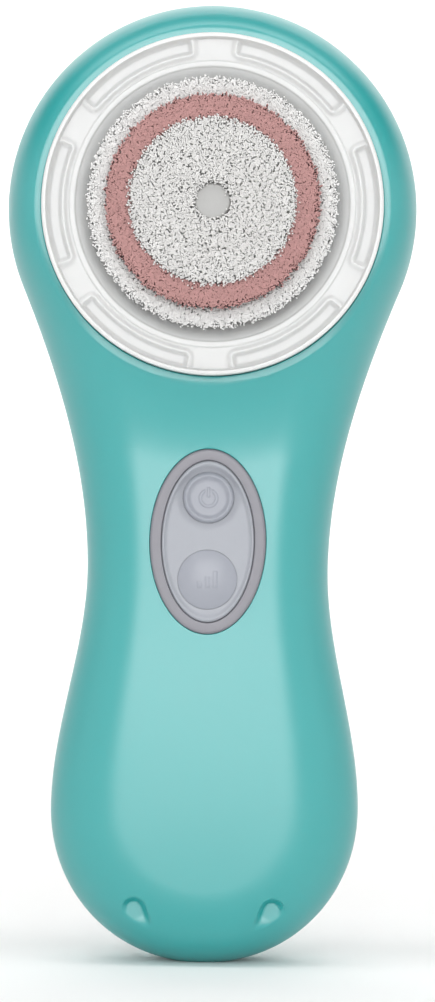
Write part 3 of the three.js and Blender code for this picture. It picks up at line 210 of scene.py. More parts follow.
def shell_mesh(name, surface, rows, inner_rows, hole, columns, faces_back):
    """A moulded shell with a real wall. Each row runs across the body at one height, from the
    outline in to the middle or to the side of a hole, and out again. In the lowest rows a sine
    crowds the points round the middle of each half, where the front's dimples are."""
    even = ends_dense(columns + 1)
    crowded = even + 0.6 * np.sin(2 * math.pi * even) / (2 * math.pi)
    opening = hole(rows)

    def sheet(z, inset):
        low = smooth((bulb_z - z) / (6 * mm))[:, None]
        spread = mix(even, crowded, low)
        start = opening[:, None]
        reach = np.maximum(half_width(z, inset)[:, None] - start, 0) * spread + start
        x = np.concatenate([-reach[:, ::-1], reach], 1)
        height = np.broadcast_to(z[:, None], x.shape)
        return np.stack([x, surface(x, height, inset), height], -1)

    outer, inner = sheet(rows, 0.0), sheet(inner_rows, wall)
    outer[0, :, 1] = inner[0, :, 1] = seam_y + (seam_gap / 2 if faces_back else -seam_gap / 2)
    index = np.arange(outer[..., 0].size).reshape(outer.shape[:2])
    shut = opening <= 0
    index[shut, columns + 1] = index[shut, columns]
    index[-1, :] = index[-1, 0]
    return two_sheets(name, outer, inner, index, columns, faces_back)


def noise_bump(nodes, links, coordinate, scale, strength, distance, detail=4.0):
    """Fine grain: a noise pattern on object coordinates, as a bump."""
    noise = nodes.new("ShaderNodeTexNoise")
    noise.inputs["Scale"].default_value = scale
    noise.inputs["Detail"].default_value = detail
    bump = nodes.new("ShaderNodeBump")
    bump.inputs["Strength"].default_value = strength
    bump.inputs["Distance"].default_value = distance
    links.new(coordinate, noise.inputs["Vector"])
    links.new(noise.outputs["Fac"], bump.inputs["Height"])
    return bump.outputs["Normal"]


def plain_material(name, dark, light, roughness, scale, grain, metallic=0.0, spread=0.05, **shader):
    """A moulded, cut or coated finish: its colour drifts slightly between two tones, its roughness
    by a small amount, and a fine grain lies on it. Sizes are per metre."""
    material = bpy.data.materials.new(name)
    material.use_nodes = True
    nodes, links = material.node_tree.nodes, material.node_tree.links
    principled = nodes["Principled BSDF"]
    where = nodes.new("ShaderNodeTexCoord").outputs["Object"]
    drift = nodes.new("ShaderNodeTexNoise")
    drift.inputs["Scale"].default_value = scale
    drift.inputs["Detail"].default_value = 3.0
    links.new(where, drift.inputs["Vector"])
    tone = nodes.new("ShaderNodeMix")
    tone.data_type = "RGBA"
    tone.inputs["A"].default_value = (*dark, 1)
    tone.inputs["B"].default_value = (*light, 1)
    links.new(drift.outputs["Fac"], tone.inputs["Factor"])
    links.new(tone.outputs["Result"], principled.inputs["Base Color"])
    rough = nodes.new("ShaderNodeMapRange")
    rough.inputs["To Min"].default_value = max(0.0, roughness - spread)
    rough.inputs["To Max"].default_value = min(1.0, roughness + spread)
    links.new(drift.outputs["Fac"], rough.inputs["Value"])
    links.new(rough.outputs["Result"], principled.inputs["Roughness"])
    normal = noise_bump(nodes, links, where, grain, 0.12, 0.02 * mm)
    links.new(normal, principled.inputs["Normal"])
    principled.inputs["Metallic"].default_value = metallic
    for socket, value in shader.items():
        principled.inputs[socket.replace("_", " ")].default_value = value
    return material


def finish_node(material, *names):
    """Gives CAD pieces their material."""
    for name in names:
        data = frame["nodes"][name].data
        data.materials.clear()
        data.materials.append(material)


def place(made, body, slot, material, *nodes):
    """Gives a new piece its material and its body, and hides the CAD pieces it stands for. The slot is not used.
    """
    made.data.materials.append(material)
    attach(made, body)
    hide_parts(*nodes)


teal = plain_material(
    "teal_plastic",
    (0.006, 0.283, 0.28),
    (0.009, 0.3, 0.297),
    0.36,
    60,
    5200,
    Specular_IOR_Level=1.0,
    IOR=1.55,
)
outer_rows = rows_between([0, bulb_z, head_z, head_z + head_radius], [40, 90, 50])
inner_rows = rows_between([wall, bulb_z, head_z, head_z + head_radius - wall], [40, 90, 50])
outer_rows = np.concatenate([[0], outer_rows])
inner_rows = np.concatenate([[wall], inner_rows])
rear = shell_mesh("rear_cover", back_y, outer_rows, inner_rows, lambda z: 0 * z, 52, True)
place(rear, "housing", "shell", teal, "rear_shell")

# Housing seal: an endless cord of black rubber in the groove between the two halves. It shows
# only as the dark bottom of the parting line.

black_rubber = plain_material("seal_rubber", (0.02, 0.022, 0.024), (0.03, 0.032, 0.034), 0.7, 300, 6000)
finish_node(black_rubber, "housing_seal", "drive_seal")


# ---------------------------------------------------------------------------------------------
# Front shell: the front half of the handle, in the same plastic. It carries the socket for the
# brush head behind a plain lip, an oval seat for the keypad, and two dimples low down where a
# magnetic charger's pegs sit.
# ---------------------------------------------------------------------------------------------

ring_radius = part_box("brush_ring")[1][0]
lip_radius = ring_radius + 1.3 * mm
socket_radius = ring_radius + 0.08 * mm
neck_width = 13 * mm
front_head = 15 * mm
front_waist = 12 * mm
front_bulb = 12.5 * mm
crown = 0.06
grip_flat, grip_power = 0.5, 2.2
head_flat, head_power = 0.83, 2.6
bezel_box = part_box("keypad_bezel")
keypad_z = (bezel_box[0][2] + bezel_box[1][2]) / 2
seat_half_width = bezel_box[1][0] + 0.05 * mm
seat_half_height = (bezel_box[1][2] - bezel_box[0][2]) / 2 + 0.05 * mm
pad_half_height = seat_half_height - 1.85 * mm
edge_fillet = 0.2 * mm
seat_fillet = 0.08 * mm
dimple_mount = [m["pos_m"] for m in frame["record"]["mounts"] if m["name"] == "charge_dimple_right"][0]
dimple_half_width = 1.6 * mm
dimple_above = 1.0 * mm
dimple_below = 3 * mm
dimple_edge = 0.9 * mm
dimple_tail = 0.4 * mm
dimple_lean = math.radians(20)


def keypad_distance(x, z):
    """About how far a point lies outside the keypad's oval seat."""
    return (np.hypot(x / seat_half_width, (z - keypad_z) / seat_half_height) - 1) * seat_half_width


def front_y(x, z, inset=0.0):
    """Y of the front surface: a gently crowned face with rounded edges, which rises on a slope
    round the head to the flat lip of the socket. Its openings have a small rounding, and the two
    dimples are sunk in it as round-ended pockets that lean in and run out at the bottom."""
    grip = mix(front_bulb, front_waist, smooth((z - bulb_z) / (waist_z - bulb_z)))
    from_axis = np.hypot(x, z - head_z)
    slope = (1 - np.clip((from_axis - lip_radius) / neck_width, 0, 1)) ** 2
    depth = mix(grip, front_head, slope) - inset
    above_pad = keypad_z + pad_half_height
    near_head = smooth((z - above_pad) / (head_z - above_pad))
    flat = mix(grip_flat, head_flat, near_head)
    power = mix(grip_power, head_power, near_head)
    share = share_out(x, z, inset)
    crowned = 1 - crown * (1 - near_head) * share**2
    reach = depth * edge(share, flat, power) * crowned
    if inset == 0.0:
        openings = [(from_axis - socket_radius, edge_fillet), (keypad_distance(x, z), seat_fillet)]
        for distance, fillet in openings:
            into = np.clip(fillet - distance, 0, fillet)
            reach = reach - (fillet - np.sqrt(fillet**2 - into**2))
        beside, above = np.abs(x) - dimple_mount[0], z - dimple_mount[2]
        along = above * math.cos(dimple_lean) + beside * math.sin(dimple_lean)
        across = beside * math.cos(dimple_lean) - above * math.sin(dimple_lean)
        past_end = np.clip(np.maximum(along - dimple_above, -dimple_below - along), 0, None)
        off = np.hypot(across, past_end) - dimple_half_width
        floor = seam_y - dimple_mount[1]
        tail = smooth((along + dimple_below + dimple_tail) / dimple_below)
        sunk = smooth(0.5 - off / dimple_edge) * tail
        reach = np.minimum(reach, mix(reach, floor, sunk))
    return seam_y - np.maximum(reach, seam_gap / 2)


def front_openings(z):
    """Half the width of the opening at height z: the keypad's seat or the socket, or none."""
    pad = seat_half_width * np.sqrt(np.clip(1 - ((z - keypad_z) / seat_half_height) ** 2, 0, None))
    ring = np.sqrt(np.clip(socket_radius**2 - (z - head_z) ** 2, 0, None))
    width = np.where(np.abs(z - keypad_z) < seat_half_height - 1e-6, pad, 0)
    return np.where(np.abs(z - head_z) < socket_radius - 1e-6, ring, width)


pad_low, pad_high = keypad_z - seat_half_height, keypad_z + seat_half_height
ring_low, ring_high = head_z - socket_radius, head_z + socket_radius
row_counts = [14, 54, 20, 30, 52, 20, 84, 20]
stops = [0, 4.4 * mm, 13.4 * mm, bulb_z, pad_low, pad_high, ring_low, ring_high, head_z + head_radius]
inner_stops = [wall, *stops[1:-1], stops[-1] - wall]
outer_rows = np.concatenate([[0], rows_between(stops, row_counts)])
inner_rows = np.concatenate([[wall], rows_between(inner_stops, row_counts)])
front = shell_mesh("front_cover", front_y, outer_rows, inner_rows, front_openings, 66, False)
place(front, "housing", "shell", teal, "front_shell")


def closed(index):
    """A grid of point numbers with its first column and its first row repeated after its last."""
    index = np.concatenate([index, index[:, :1]], 1)
    return np.concatenate([index, index[:1]], 0)


def turned(name, profile, middle, steps=144, crease=35):
    """A closed profile of (radius, y) points carried round an axis along Y through middle. Points
    on the axis close to one point."""
    radius, y = np.array(profile).T
    angle = np.linspace(0, 2 * math.pi, steps, endpoint=False)
    x = middle[0] + radius[:, None] * np.cos(angle)
    z = middle[2] + radius[:, None] * np.sin(angle)
    points = np.stack([x, middle[1] + np.broadcast_to(y[:, None], x.shape), z], -1).reshape(-1, 3)
    index = np.arange(len(profile) * steps).reshape(len(profile), steps)
    on_axis = radius < 1e-7
    index[on_axis] = index[on_axis][:, :1]
    return mesh_object(name, points, grid_triangles(closed(index)), crease)


def arc(centre, radius, start, stop, count=6):
    """Points of an arc in the (radius, y) plane, between two angles in degrees."""
    angle = np.radians(np.linspace(start, stop, count))
    across, along = centre[0] + radius * np.cos(angle), centre[1] + radius * np.sin(angle)
    return list(zip(across, along))


# Socket: the round well of the front shell that the brush head sits in, with a flat floor and a
# hole for the drive.

axis_point = (0.0, 0.0, head_z)
lip_y = seam_y - front_head
floor_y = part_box("drive_seal")[1][1] - wall
cup_inside = socket_radius + 0.02 * mm
cup_outside = socket_radius + 1.8 * mm
cup_corner = 1 * mm
drive_hole = 7.5 * mm
hole_edge = 0.3 * mm
cup = turned(
    "socket_wall",
    [
        (cup_inside, lip_y + edge_fillet),
        (cup_inside, floor_y - cup_corner),
        *arc((socket_radius - cup_corner, floor_y - cup_corner), cup_corner, 0, 90),
        (drive_hole + hole_edge, floor_y),
        *arc((drive_hole + hole_edge, floor_y + hole_edge), hole_edge, -90, -180, 4),
        (drive_hole, floor_y + wall),
        (cup_outside, floor_y + wall),
        (cup_outside, lip_y + 3 * mm),
    ],
    axis_point,
)
place(cup, "housing", "shell", teal, "front_shell")

# Index blocks: three low blocks moulded on the socket's floor, between which the lugs of the brush
# head stand, so that the head can't turn.

block_outer = ring_radius - 3.4 * mm
block_inner = block_outer - 3 * mm
block_height = 1 * mm
block_half_angle = 10
block_count = 3
block_foot = floor_y + 0.1 * mm


def index_blocks():
    """A section of (radius, y) with two rounded corners, carried over an arc about the head's axis
    and shut at both ends by a fan from its first corner. The blocks are evenly spaced."""
    corner = 0.3 * mm
    top_y = floor_y - block_height
    section = np.array(
        [
            (block_inner, block_foot),
            *arc((block_inner + corner, top_y + corner), corner, 180, 270, 5),
            *arc((block_outer - corner, top_y + corner), corner, 270, 360, 5),
            (block_outer, block_foot),
        ]
    )
    sweep_angle = np.radians(np.linspace(-block_half_angle, block_half_angle, 13))
    radius, y = section.T
    index = np.arange(len(radius) * len(sweep_angle)).reshape(len(sweep_angle), len(radius))
    side = grid_triangles(np.concatenate([index, index[:, :1]], 1))
    second = np.arange(1, len(radius) - 1)
    fan = np.stack([0 * second, second, second + 1], -1)
    one = np.concatenate([side, fan[:, ::-1], fan + index[-1, 0]])
    points, triangles = [], []
    for i in range(block_count):
        angle = sweep_angle[:, None] + i * 2 * math.pi / block_count
        x, z = radius * np.cos(angle), head_z + radius * np.sin(angle)
        points.append(np.stack([x, np.broadcast_to(y, x.shape), z], -1).reshape(-1, 3))
        triangles.append(one + i * index.size)
    return mesh_object("socket_blocks", np.concatenate(points), np.concatenate(triangles))


place(index_blocks(), "housing", "shell", teal, "front_shell")

# ---------------------------------------------------------------------------------------------
# Inside the handle: a glass-filled frame with the cell in it, the charging coil on its ferrite,
# and the magnets that hold the charger. All keep their CAD shapes.
# ---------------------------------------------------------------------------------------------

dark_plastic = plain_material(
    "glass_filled_plastic", (0.045, 0.047, 0.052), (0.06, 0.062, 0.068), 0.55, 900, 7000
)
shrink_wrap = plain_material(
    "battery_wrap", (0.03, 0.08, 0.2), (0.035, 0.095, 0.24), 0.28, 200, 3000, Coat_Weight=0.3
)
nickel = plain_material("nickel_strip", (0.56, 0.54, 0.5), (0.62, 0.6, 0.55), 0.3, 500, 9000, 1.0)
foam = plain_material("foam", (0.1, 0.1, 0.11), (0.16, 0.16, 0.17), 0.95, 2500, 3000)
copper_wire = plain_material(
    "copper_winding", (0.45, 0.17, 0.07), (0.6, 0.25, 0.11), 0.35, 1200, 6000, 1.0
)
ferrite = plain_material("ferrite", (0.012, 0.012, 0.014), (0.025, 0.025, 0.028), 0.5, 800, 5000)
magnet_plate = plain_material(
    "magnet_plating", (0.6, 0.6, 0.62), (0.68, 0.68, 0.7), 0.18, 400, 8000, 1.0
)
zinc = plain_material("zinc_plate", (0.42, 0.43, 0.45), (0.52, 0.53, 0.55), 0.32, 900, 8000, 1.0)
finish_node(dark_plastic, "inner_frame", "motor_front_plate", "motor_rear_plate", "spring_clamp")
finish_node(shrink_wrap, "battery_cell")
finish_node(nickel, "battery_tab_upper", "battery_tab_lower")
finish_node(foam, "battery_foam")
finish_node(copper_wire, "charging_coil", "motor_coil")
finish_node(ferrite, "ferrite_disc")
finish_node(
    magnet_plate, "charge_magnet_left", "charge_magnet_right", "rotor_magnet_left", "rotor_magnet_right"
)
finish_node(zinc, "frame_screw_1", "frame_screw_2", "board_screw_1", "board_screw_2")
finish_node(zinc, "motor_screw_1", "motor_screw_2", "motor_screw_3", "motor_screw_4")

# Circuit board: green laminate with two tact switches, the controller, the charge lamp and two
# connectors, and the insulated leads to the cell and the motor.

solder_mask = plain_material("solder_mask", (0.01, 0.09, 0.045), (0.013, 0.11, 0.055), 0.4, 700, 5000)
chip_case = plain_material(
    "moulding_compound", (0.012, 0.012, 0.013), (0.02, 0.02, 0.022), 0.6, 900, 9000
)
nylon = plain_material("natural_nylon", (0.62, 0.6, 0.53), (0.68, 0.66, 0.59), 0.45, 700, 6000)
lamp_lens = plain_material("lamp_lens", (0.8, 0.85, 0.8), (0.85, 0.9, 0.85), 0.1, 300, 2000, IOR=1.5)
red_wire = plain_material("red_insulation", (0.35, 0.012, 0.01), (0.42, 0.016, 0.014), 0.4, 900, 5000)
black_wire = plain_material(
    "black_insulation", (0.008, 0.008, 0.009), (0.014, 0.014, 0.015), 0.4, 900, 5000
)
finish_node(solder_mask, "circuit_board")
finish_node(chip_case, "power_switch", "speed_switch", "control_chip")
finish_node(nylon, "power_switch_plunger", "speed_switch_plunger", "coil_bobbin")
finish_node(nylon, "battery_connector", "motor_connector")
finish_node(lamp_lens, "charge_lamp")
finish_node(red_wire, "battery_lead_plus", "motor_lead_1")
finish_node(black_wire, "battery_lead_minus", "motor_lead_2")

# Motor: laminated stator and armature, ground spindle in two bronze bushes, two leaf springs and
# a black acetal hub whose cross key drives the brush.

lamination = plain_material(
    "electrical_steel", (0.2, 0.205, 0.215), (0.27, 0.275, 0.285), 0.45, 1500, 9000, 1.0
)
ground_steel = plain_material("ground_steel", (0.5, 0.51, 0.53), (0.58, 0.59, 0.61), 0.2, 900, 9000, 1.0)
spring_steel = plain_material("spring_steel", (0.3, 0.32, 0.37), (0.38, 0.4, 0.45), 0.3, 900, 9000, 1.0)
bronze = plain_material("sintered_bronze", (0.45, 0.29, 0.12), (0.55, 0.36, 0.16), 0.5, 2500, 9000, 1.0)
acetal = plain_material("black_acetal", (0.02, 0.021, 0.023), (0.03, 0.031, 0.034), 0.4, 900, 7000)
finish_node(lamination, "stator_core", "armature")
finish_node(ground_steel, "spindle")
finish_node(spring_steel, "leaf_spring_left", "leaf_spring_right")
finish_node(bronze, "front_bush", "rear_bush")
finish_node(acetal, "drive_hub")


# ---------------------------------------------------------------------------------------------
# Keypad bezel: an oval frame of darker grey plastic, pressed into its seat in the front shell.
# ---------------------------------------------------------------------------------------------

bezel_front = bezel_box[0][1]
bezel_half = (bezel_box[1][0], (bezel_box[1][2] - bezel_box[0][2]) / 2)
bezel_width = 1.8 * mm
bezel_back = bezel_front + 2.2 * mm
bezel_step = bezel_front + 1.1 * mm
bezel_gap = 0.03 * mm
bezel_inner = 0.2 * mm
bezel_outer = 0.45 * mm
pad_half = (bezel_half[0] - bezel_width, bezel_half[1] - bezel_width)


def carried_round_oval(name, profile, half, middle_z, steps=180, crease=35):
    """A closed profile of (outward, y) points carried round an oval. Outward is measured from the
    oval along both of its half axes, so that the rim keeps its width."""
    outward, y = np.array(profile).T
    angle = np.linspace(0, 2 * math.pi, steps, endpoint=False)
    x = (half[0] + outward[:, None]) * np.cos(angle)
    z = middle_z + (half[1] + outward[:, None]) * np.sin(angle)
    points = np.stack([x, np.broadcast_to(y[:, None], x.shape), z], -1).reshape(-1, 3)
    index = np.arange(len(profile) * steps).reshape(len(profile), steps)
    return mesh_object(name, points, grid_triangles(closed(index)), crease)


bezel = carried_round_oval(
    "bezel_frame",
    [
        (bezel_gap, bezel_back),
        (bezel_gap, bezel_front + 0.75 * mm),
        *arc((bezel_gap + bezel_inner, bezel_front + bezel_inner), bezel_inner, 180, 270, 6),
        *arc((bezel_width - bezel_outer, bezel_front + bezel_outer), bezel_outer, 270, 360, 8),
        (bezel_width, bezel_step),
        (bezel_width / 2, bezel_step),
        (0.7 * mm, bezel_back),
    ][::-1],
    pad_half,
    keypad_z,
)
bezel_plastic = plain_material(
    "bezel_plastic", (0.19, 0.187, 0.213), (0.21, 0.206, 0.23), 0.38, 500, 6000, Specular_IOR_Level=0.5
)
place(bezel, "housing", "bezel", bezel_plastic, "keypad_bezel")

# ---------------------------------------------------------------------------------------------
# Keypad: one soft grey elastomer moulding with a thin raised edge, a dished face, and a round
# hole for each button.
# ---------------------------------------------------------------------------------------------

power_box, speed_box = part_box("power_button"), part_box("speed_button")
pad_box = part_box("keypad_pad")
button_flange = 0.75 * mm
power_z = (power_box[0][2] + power_box[1][2]) / 2
speed_z = (speed_box[0][2] + speed_box[1][2]) / 2
power_radius = power_box[1][0] - button_flange
speed_radius = speed_box[1][0] - button_flange
button_gap = 0.04 * mm
ridge_height = 0.35 * mm
ridge_width = 0.3 * mm
rim_height, rim_width = 0.3 * mm, 0.15 * mm
dish_depth, dish_width = 0.3 * mm, 0.8 * mm


def pad_face(x, z):
    """Y of the pad: flat, with a low ridge along the rim, a shallow dish round the power button
    and the outer edge rounded off."""
    reach = np.hypot(x / pad_half[0], (z - keypad_z) / pad_half[1])
    inside = (1 - reach) * pad_half[0]
    ridge = ridge_height * np.exp(-(((inside - ridge_width) / ridge_width) ** 2))
    rounding = rim_height * np.clip(1 - inside / rim_width, 0, 1) ** 2
    power_off = np.hypot(x, z - power_z) - power_radius
    dish = dish_depth * np.exp(-((power_off / dish_width) ** 2))
    return pad_box[0][1] - ridge + rounding + dish


def pad_openings(z):
    """Half the width of the button hole at height z, or none."""
    power = np.sqrt(np.clip((power_radius + button_gap) ** 2 - (z - power_z) ** 2, 0, None))
    speed = np.sqrt(np.clip((speed_radius + button_gap) ** 2 - (z - speed_z) ** 2, 0, None))
    return np.maximum(power, speed)


def pad_mesh():
    """Rows across the oval, each from the rim to the middle or to a hole, as a front sheet and a
    back sheet whose open edges are joined."""
    columns = 34
    holes = [
        speed_z - speed_radius - button_gap,
        speed_z + speed_radius + button_gap,
        power_z - power_radius - button_gap,
        power_z + power_radius + button_gap,
    ]
    stops = [keypad_z - pad_half[1], *holes, keypad_z + pad_half[1]]
    z = rows_between(stops, [16, 40, 10, 40, 16])
    opening = pad_openings(z)
    for stop in holes:
        opening[np.abs(z - stop) < 1e-7] = 0
    width = pad_half[0] * np.sqrt(np.clip(1 - ((z - keypad_z) / pad_half[1]) ** 2, 0, None))
    spread = ends_dense(columns + 1)
    reach = np.maximum(width - opening, 0)[:, None] * spread + opening[:, None]
    x = np.concatenate([-reach[:, ::-1], reach], 1)
    height = np.broadcast_to(z[:, None], x.shape)
    front_sheet = np.stack([x, pad_face(x, height), height], -1)
    back_sheet = front_sheet.copy()
    back_sheet[..., 1] = pad_box[1][1] - 0.3 * mm
    index = np.arange(x.size).reshape(x.shape)
    shut = opening <= 0
    index[shut, columns + 1] = index[shut, columns]
    index[0, :], index[-1, :] = index[0, 0], index[-1, 0]
    return two_sheets("soft_pad", front_sheet, back_sheet, index, columns, False)


pad_rubber = plain_material(
    "pad_elastomer", (0.297, 0.31, 0.344), (0.32, 0.334, 0.368), 0.42, 400, 5200, Specular_IOR_Level=0.45
)
place(pad_mesh(), "housing", "pad", pad_rubber, "keypad_pad")

# ---------------------------------------------------------------------------------------------
# Buttons: two separate mouldings of the same elastomer. The power button is a shallow cup with a
# raised ring and a plain power mark; the speed button is a soft dome with three small bars.
# ---------------------------------------------------------------------------------------------

flange_thickness = 0.7 * mm
cup_depth = 0.45 * mm
power_mark_height = 0.12 * mm
dome_height = 0.85 * mm
bar_height = 0.08 * mm
bar_half_width = 0.28 * mm
bar_foot = -1.2 * mm
bars_at = ((-1.2 * mm, 0.9 * mm), (0.0, 1.7 * mm), (1.2 * mm, 2.5 * mm))


def button(name, radius, box, face, rings=56, steps=160):
    """A round button: the face is y = face(u, v) on rings about its middle, and its edge and the
    flange behind it are turned. u runs across and v up, from the button's middle."""
    middle_z = (box[0][2] + box[1][2]) / 2
    angle = np.linspace(0, 2 * math.pi, steps, endpoint=False)
    reach = radius * np.linspace(0, 1, rings) ** 0.8
    u, v = reach[:, None] * np.cos(angle), reach[:, None] * np.sin(angle)
    y = face(u, v, radius)
    back = box[1][1]
    behind = [
        (radius, back - flange_thickness),
        (radius + button_flange, back - flange_thickness),
        (radius + button_flange, back),
        (0.0, back),
    ]
    turned_radius, turned_y = np.array(behind).T
    u = np.concatenate([u, turned_radius[:, None] * np.cos(angle)])
    v = np.concatenate([v, turned_radius[:, None] * np.sin(angle)])
    y = np.concatenate([y, np.broadcast_to(turned_y[:, None], (len(behind), steps))])
    points = np.stack([u, y, middle_z + v], -1).reshape(-1, 3)
    index = np.arange(u.size).reshape(u.shape)
    index[0], index[-1] = index[0, 0], index[-1, 0]
    index = np.concatenate([index, index[:, :1]], 1)
    return mesh_object(name, points, grid_triangles(index)[:, ::-1], 50)


def soft_step(distance, width):
    """1 well inside a distance of 0, 0 well outside, smooth over the width."""
    return smooth(0.5 - distance / width)


def power_face(u, v, radius):
    """A cup: a raised ring near the edge, a low floor, and a raised open ring with an upright bar."""
    reach = np.hypot(u, v)
    ring = cup_depth * np.exp(-(((reach - 0.86 * radius) / (0.11 * radius)) ** 2))
    edge_drop = 0.3 * mm * np.clip((reach / radius - 0.93) / 0.07, 0, 1) ** 2
    open_ring = np.abs(np.hypot(u, v + 0.1 * mm) - 1.25 * mm) - 0.2 * mm
    gap = (np.abs(u) < 0.55 * mm) & (v > 0)
    open_ring = np.where(gap, 1 * mm, open_ring)
    bar = np.maximum(np.abs(u) - 0.2 * mm, np.abs(v - 0.85 * mm) - 0.75 * mm)
    mark = soft_step(np.minimum(open_ring, bar), 0.16 * mm)
    return power_box[0][1] + cup_depth - ring + edge_drop - power_mark_height * mark


def speed_face(u, v, radius):
    """A dome, flat on top and round at its edge, with three raised bars that grow in height."""
    reach = np.hypot(u, v) / radius
    dome = dome_height * np.clip(1 - reach**2.2, 0, 1)
    bars = [
        np.maximum(np.abs(u - x) - bar_half_width, np.abs(v - bar_foot - tall / 2) - tall / 2)
        for x, tall in bars_at
    ]
    mark = soft_step(np.minimum.reduce(bars), 0.3 * mm)
    return speed_box[0][1] + dome_height - dome - bar_height * mark


button_rubber = plain_material(
    "button_elastomer",
    (0.27, 0.283, 0.323),
    (0.294, 0.307, 0.347),
    0.36,
    500,
    5200,
    Specular_IOR_Level=0.5,
)
power_key = button("power_key", power_radius, power_box, power_face)
speed_key = button("speed_key", speed_radius, speed_box, speed_face)
place(power_key, "power_button_unit", "button", button_rubber, "power_button")
place(speed_key, "speed_button_unit", "button", button_rubber, "speed_button")

# ---------------------------------------------------------------------------------------------
# Brush ring: the fixed outer part of the brush head, moulded in slightly milky white plastic. An
# outer lip runs round it; inside that lie six arc-shaped pockets behind a thin rib, and a bowl
# that leads down to the bristles.
# ---------------------------------------------------------------------------------------------

ring_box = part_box("brush_ring")
ring_front, ring_back = ring_box[0][1], ring_box[1][1]
ring_bore = ring_radius - 10.1 * mm
tuft_plane = ring_front + 4 * mm
cell_inner = ring_radius - 3.2 * mm
cell_outer = ring_radius - 0.8 * mm
cell_half_angle = math.radians(22)
cell_corner = 0.7 * mm
pocket_depth = 0.4 * mm
rib_height, rib_width = 0.4 * mm, 0.42 * mm
sill_depth = 1.3 * mm
bowl_from, bowl_width = 4.8 * mm, 4.4 * mm
step_height, step_edge = 0.22 * mm, 0.25 * mm
ring_fillet, bore_fillet = 0.4 * mm, 0.3 * mm
skirt_inside = ring_radius - 1.4 * mm
plate_back = tuft_plane + 1.6 * mm


def cell_distance(radius, angle):
    """How far a point lies outside the nearest arc-shaped pocket: the distance to a box with
    rounded corners, in the lengths along and across the ring."""
    middle = (cell_inner + cell_outer) / 2
    sixth = math.pi / 3
    along = np.abs((angle + sixth / 2) % sixth - sixth / 2) * middle
    across = np.abs(radius - middle)
    half_long = cell_half_angle * middle - cell_corner
    half_wide = (cell_outer - cell_inner) / 2 - cell_corner
    a, b = along - half_long, across - half_wide
    outside = np.hypot(np.clip(a, 0, None), np.clip(b, 0, None))
    return outside + np.minimum(np.maximum(a, b), 0) - cell_corner


def ring_face(radius, angle):
    """Y of the ring's front: the lip, the pockets with a thin rib round each, the sill between
    them, and the bowl with two shallow steps down to the tuft plane."""
    from_edge = ring_radius - radius
    bowl = mix(ring_front + sill_depth, tuft_plane, smooth((from_edge - bowl_from) / bowl_width))
    outer_step, inner_step = from_edge - 4.3 * mm, from_edge - 5.2 * mm
    step = step_height * (soft_step(inner_step, step_edge) - soft_step(outer_step, step_edge))
    off = cell_distance(radius, angle)
    rib = rib_height * np.exp(-(((off - 0.1 * mm) / rib_width) ** 2))
    pocket = pocket_depth * soft_step(off + 0.3 * mm, 0.7 * mm)
    flat = bowl - step - rib + pocket
    lip = soft_step(cell_outer - radius + 0.05 * mm, 0.3 * mm)
    return mix(flat, ring_front, lip)


def ring_mesh(steps=540):
    """The ring's section carried round the brush axis. The front is sampled at many radii, with
    both of its edges rounded, and the outside, the back and the bore close the section."""
    radius = ring_bore + (ring_radius - ring_bore) * np.linspace(0, 1, 120)
    radius = np.concatenate(
        [[ring_bore, ring_bore + 0.02 * mm, ring_bore + 0.08 * mm], radius[2:-5]]
        + [ring_radius - ring_fillet * (1 - np.sin(np.radians(np.linspace(0, 90, 9))))]
    )
    angle = np.linspace(0, 2 * math.pi, steps, endpoint=False)
    shape = ring_face(radius[:, None], angle[None, :])
    for past, fillet in (
        (radius - (ring_radius - ring_fillet), ring_fillet),
        (ring_bore + bore_fillet - radius, bore_fillet),
    ):
        into = np.clip(past, 0, fillet)
        shape = shape + (fillet - np.sqrt(fillet**2 - into**2))[:, None]
    back = [
        (ring_radius, ring_back - 0.2 * mm),
        (ring_radius - 0.2 * mm, ring_back),
        (skirt_inside, ring_back),
        (skirt_inside, ring_front + 3.9 * mm),
        (ring_bore + 3.6 * mm, plate_back),
        (ring_bore, plate_back),
    ]
    back_radius, back_depth = np.array(back).T
    radius = np.concatenate([radius, back_radius])
    shape = np.concatenate([shape, np.broadcast_to(back_depth[:, None], (len(back), steps))])
    x = radius[:, None] * np.cos(angle)
    z = head_z + radius[:, None] * np.sin(angle)
    points = np.stack([x, shape, z], -1).reshape(-1, 3)
    index = np.arange(x.size).reshape(x.shape)
    return mesh_object("ring_moulding", points, grid_triangles(closed(index))[:, ::-1], 60)


milky = plain_material(
    "milky_plastic",
    (0.59, 0.596, 0.593),
    (0.615, 0.621, 0.618),
    0.34,
    300,
    5000,
    Subsurface_Weight=0.5,
    Subsurface_Scale=2 * mm,
    Subsurface_Radius=(1.0, 0.95, 0.9),
)
place(ring_mesh(), "brush_head", "frost_white", milky, "brush_ring")
finish_node(milky, "brush_back_plate", "brush_core")


# ---------------------------------------------------------------------------------------------
# Bristles: tufts of fine nylon filament, stapled in rings of holes and cut square. Each filament
# leans a little its own way. The outer white tufts stand still on the ring; the rose ring and the
# white field turn with the core.
# ---------------------------------------------------------------------------------------------

root_plane = tuft_plane - 0.1 * mm
filament_thickness = 0.27 * mm
random_lean = 0.025


def tuft_places(radii, pitch):
    """The middles of the tufts: rings of evenly spaced places, each ring turned half a pitch."""
    places = []
    for i, radius in enumerate(radii):
        count = int(round(2 * math.pi * radius / pitch))
        angle = (np.arange(count) + 0.5 * (i % 2)) * 2 * math.pi / count
        places.append(np.stack([radius * np.cos(angle), radius * np.sin(angle)], -1))
    return np.concatenate(places)


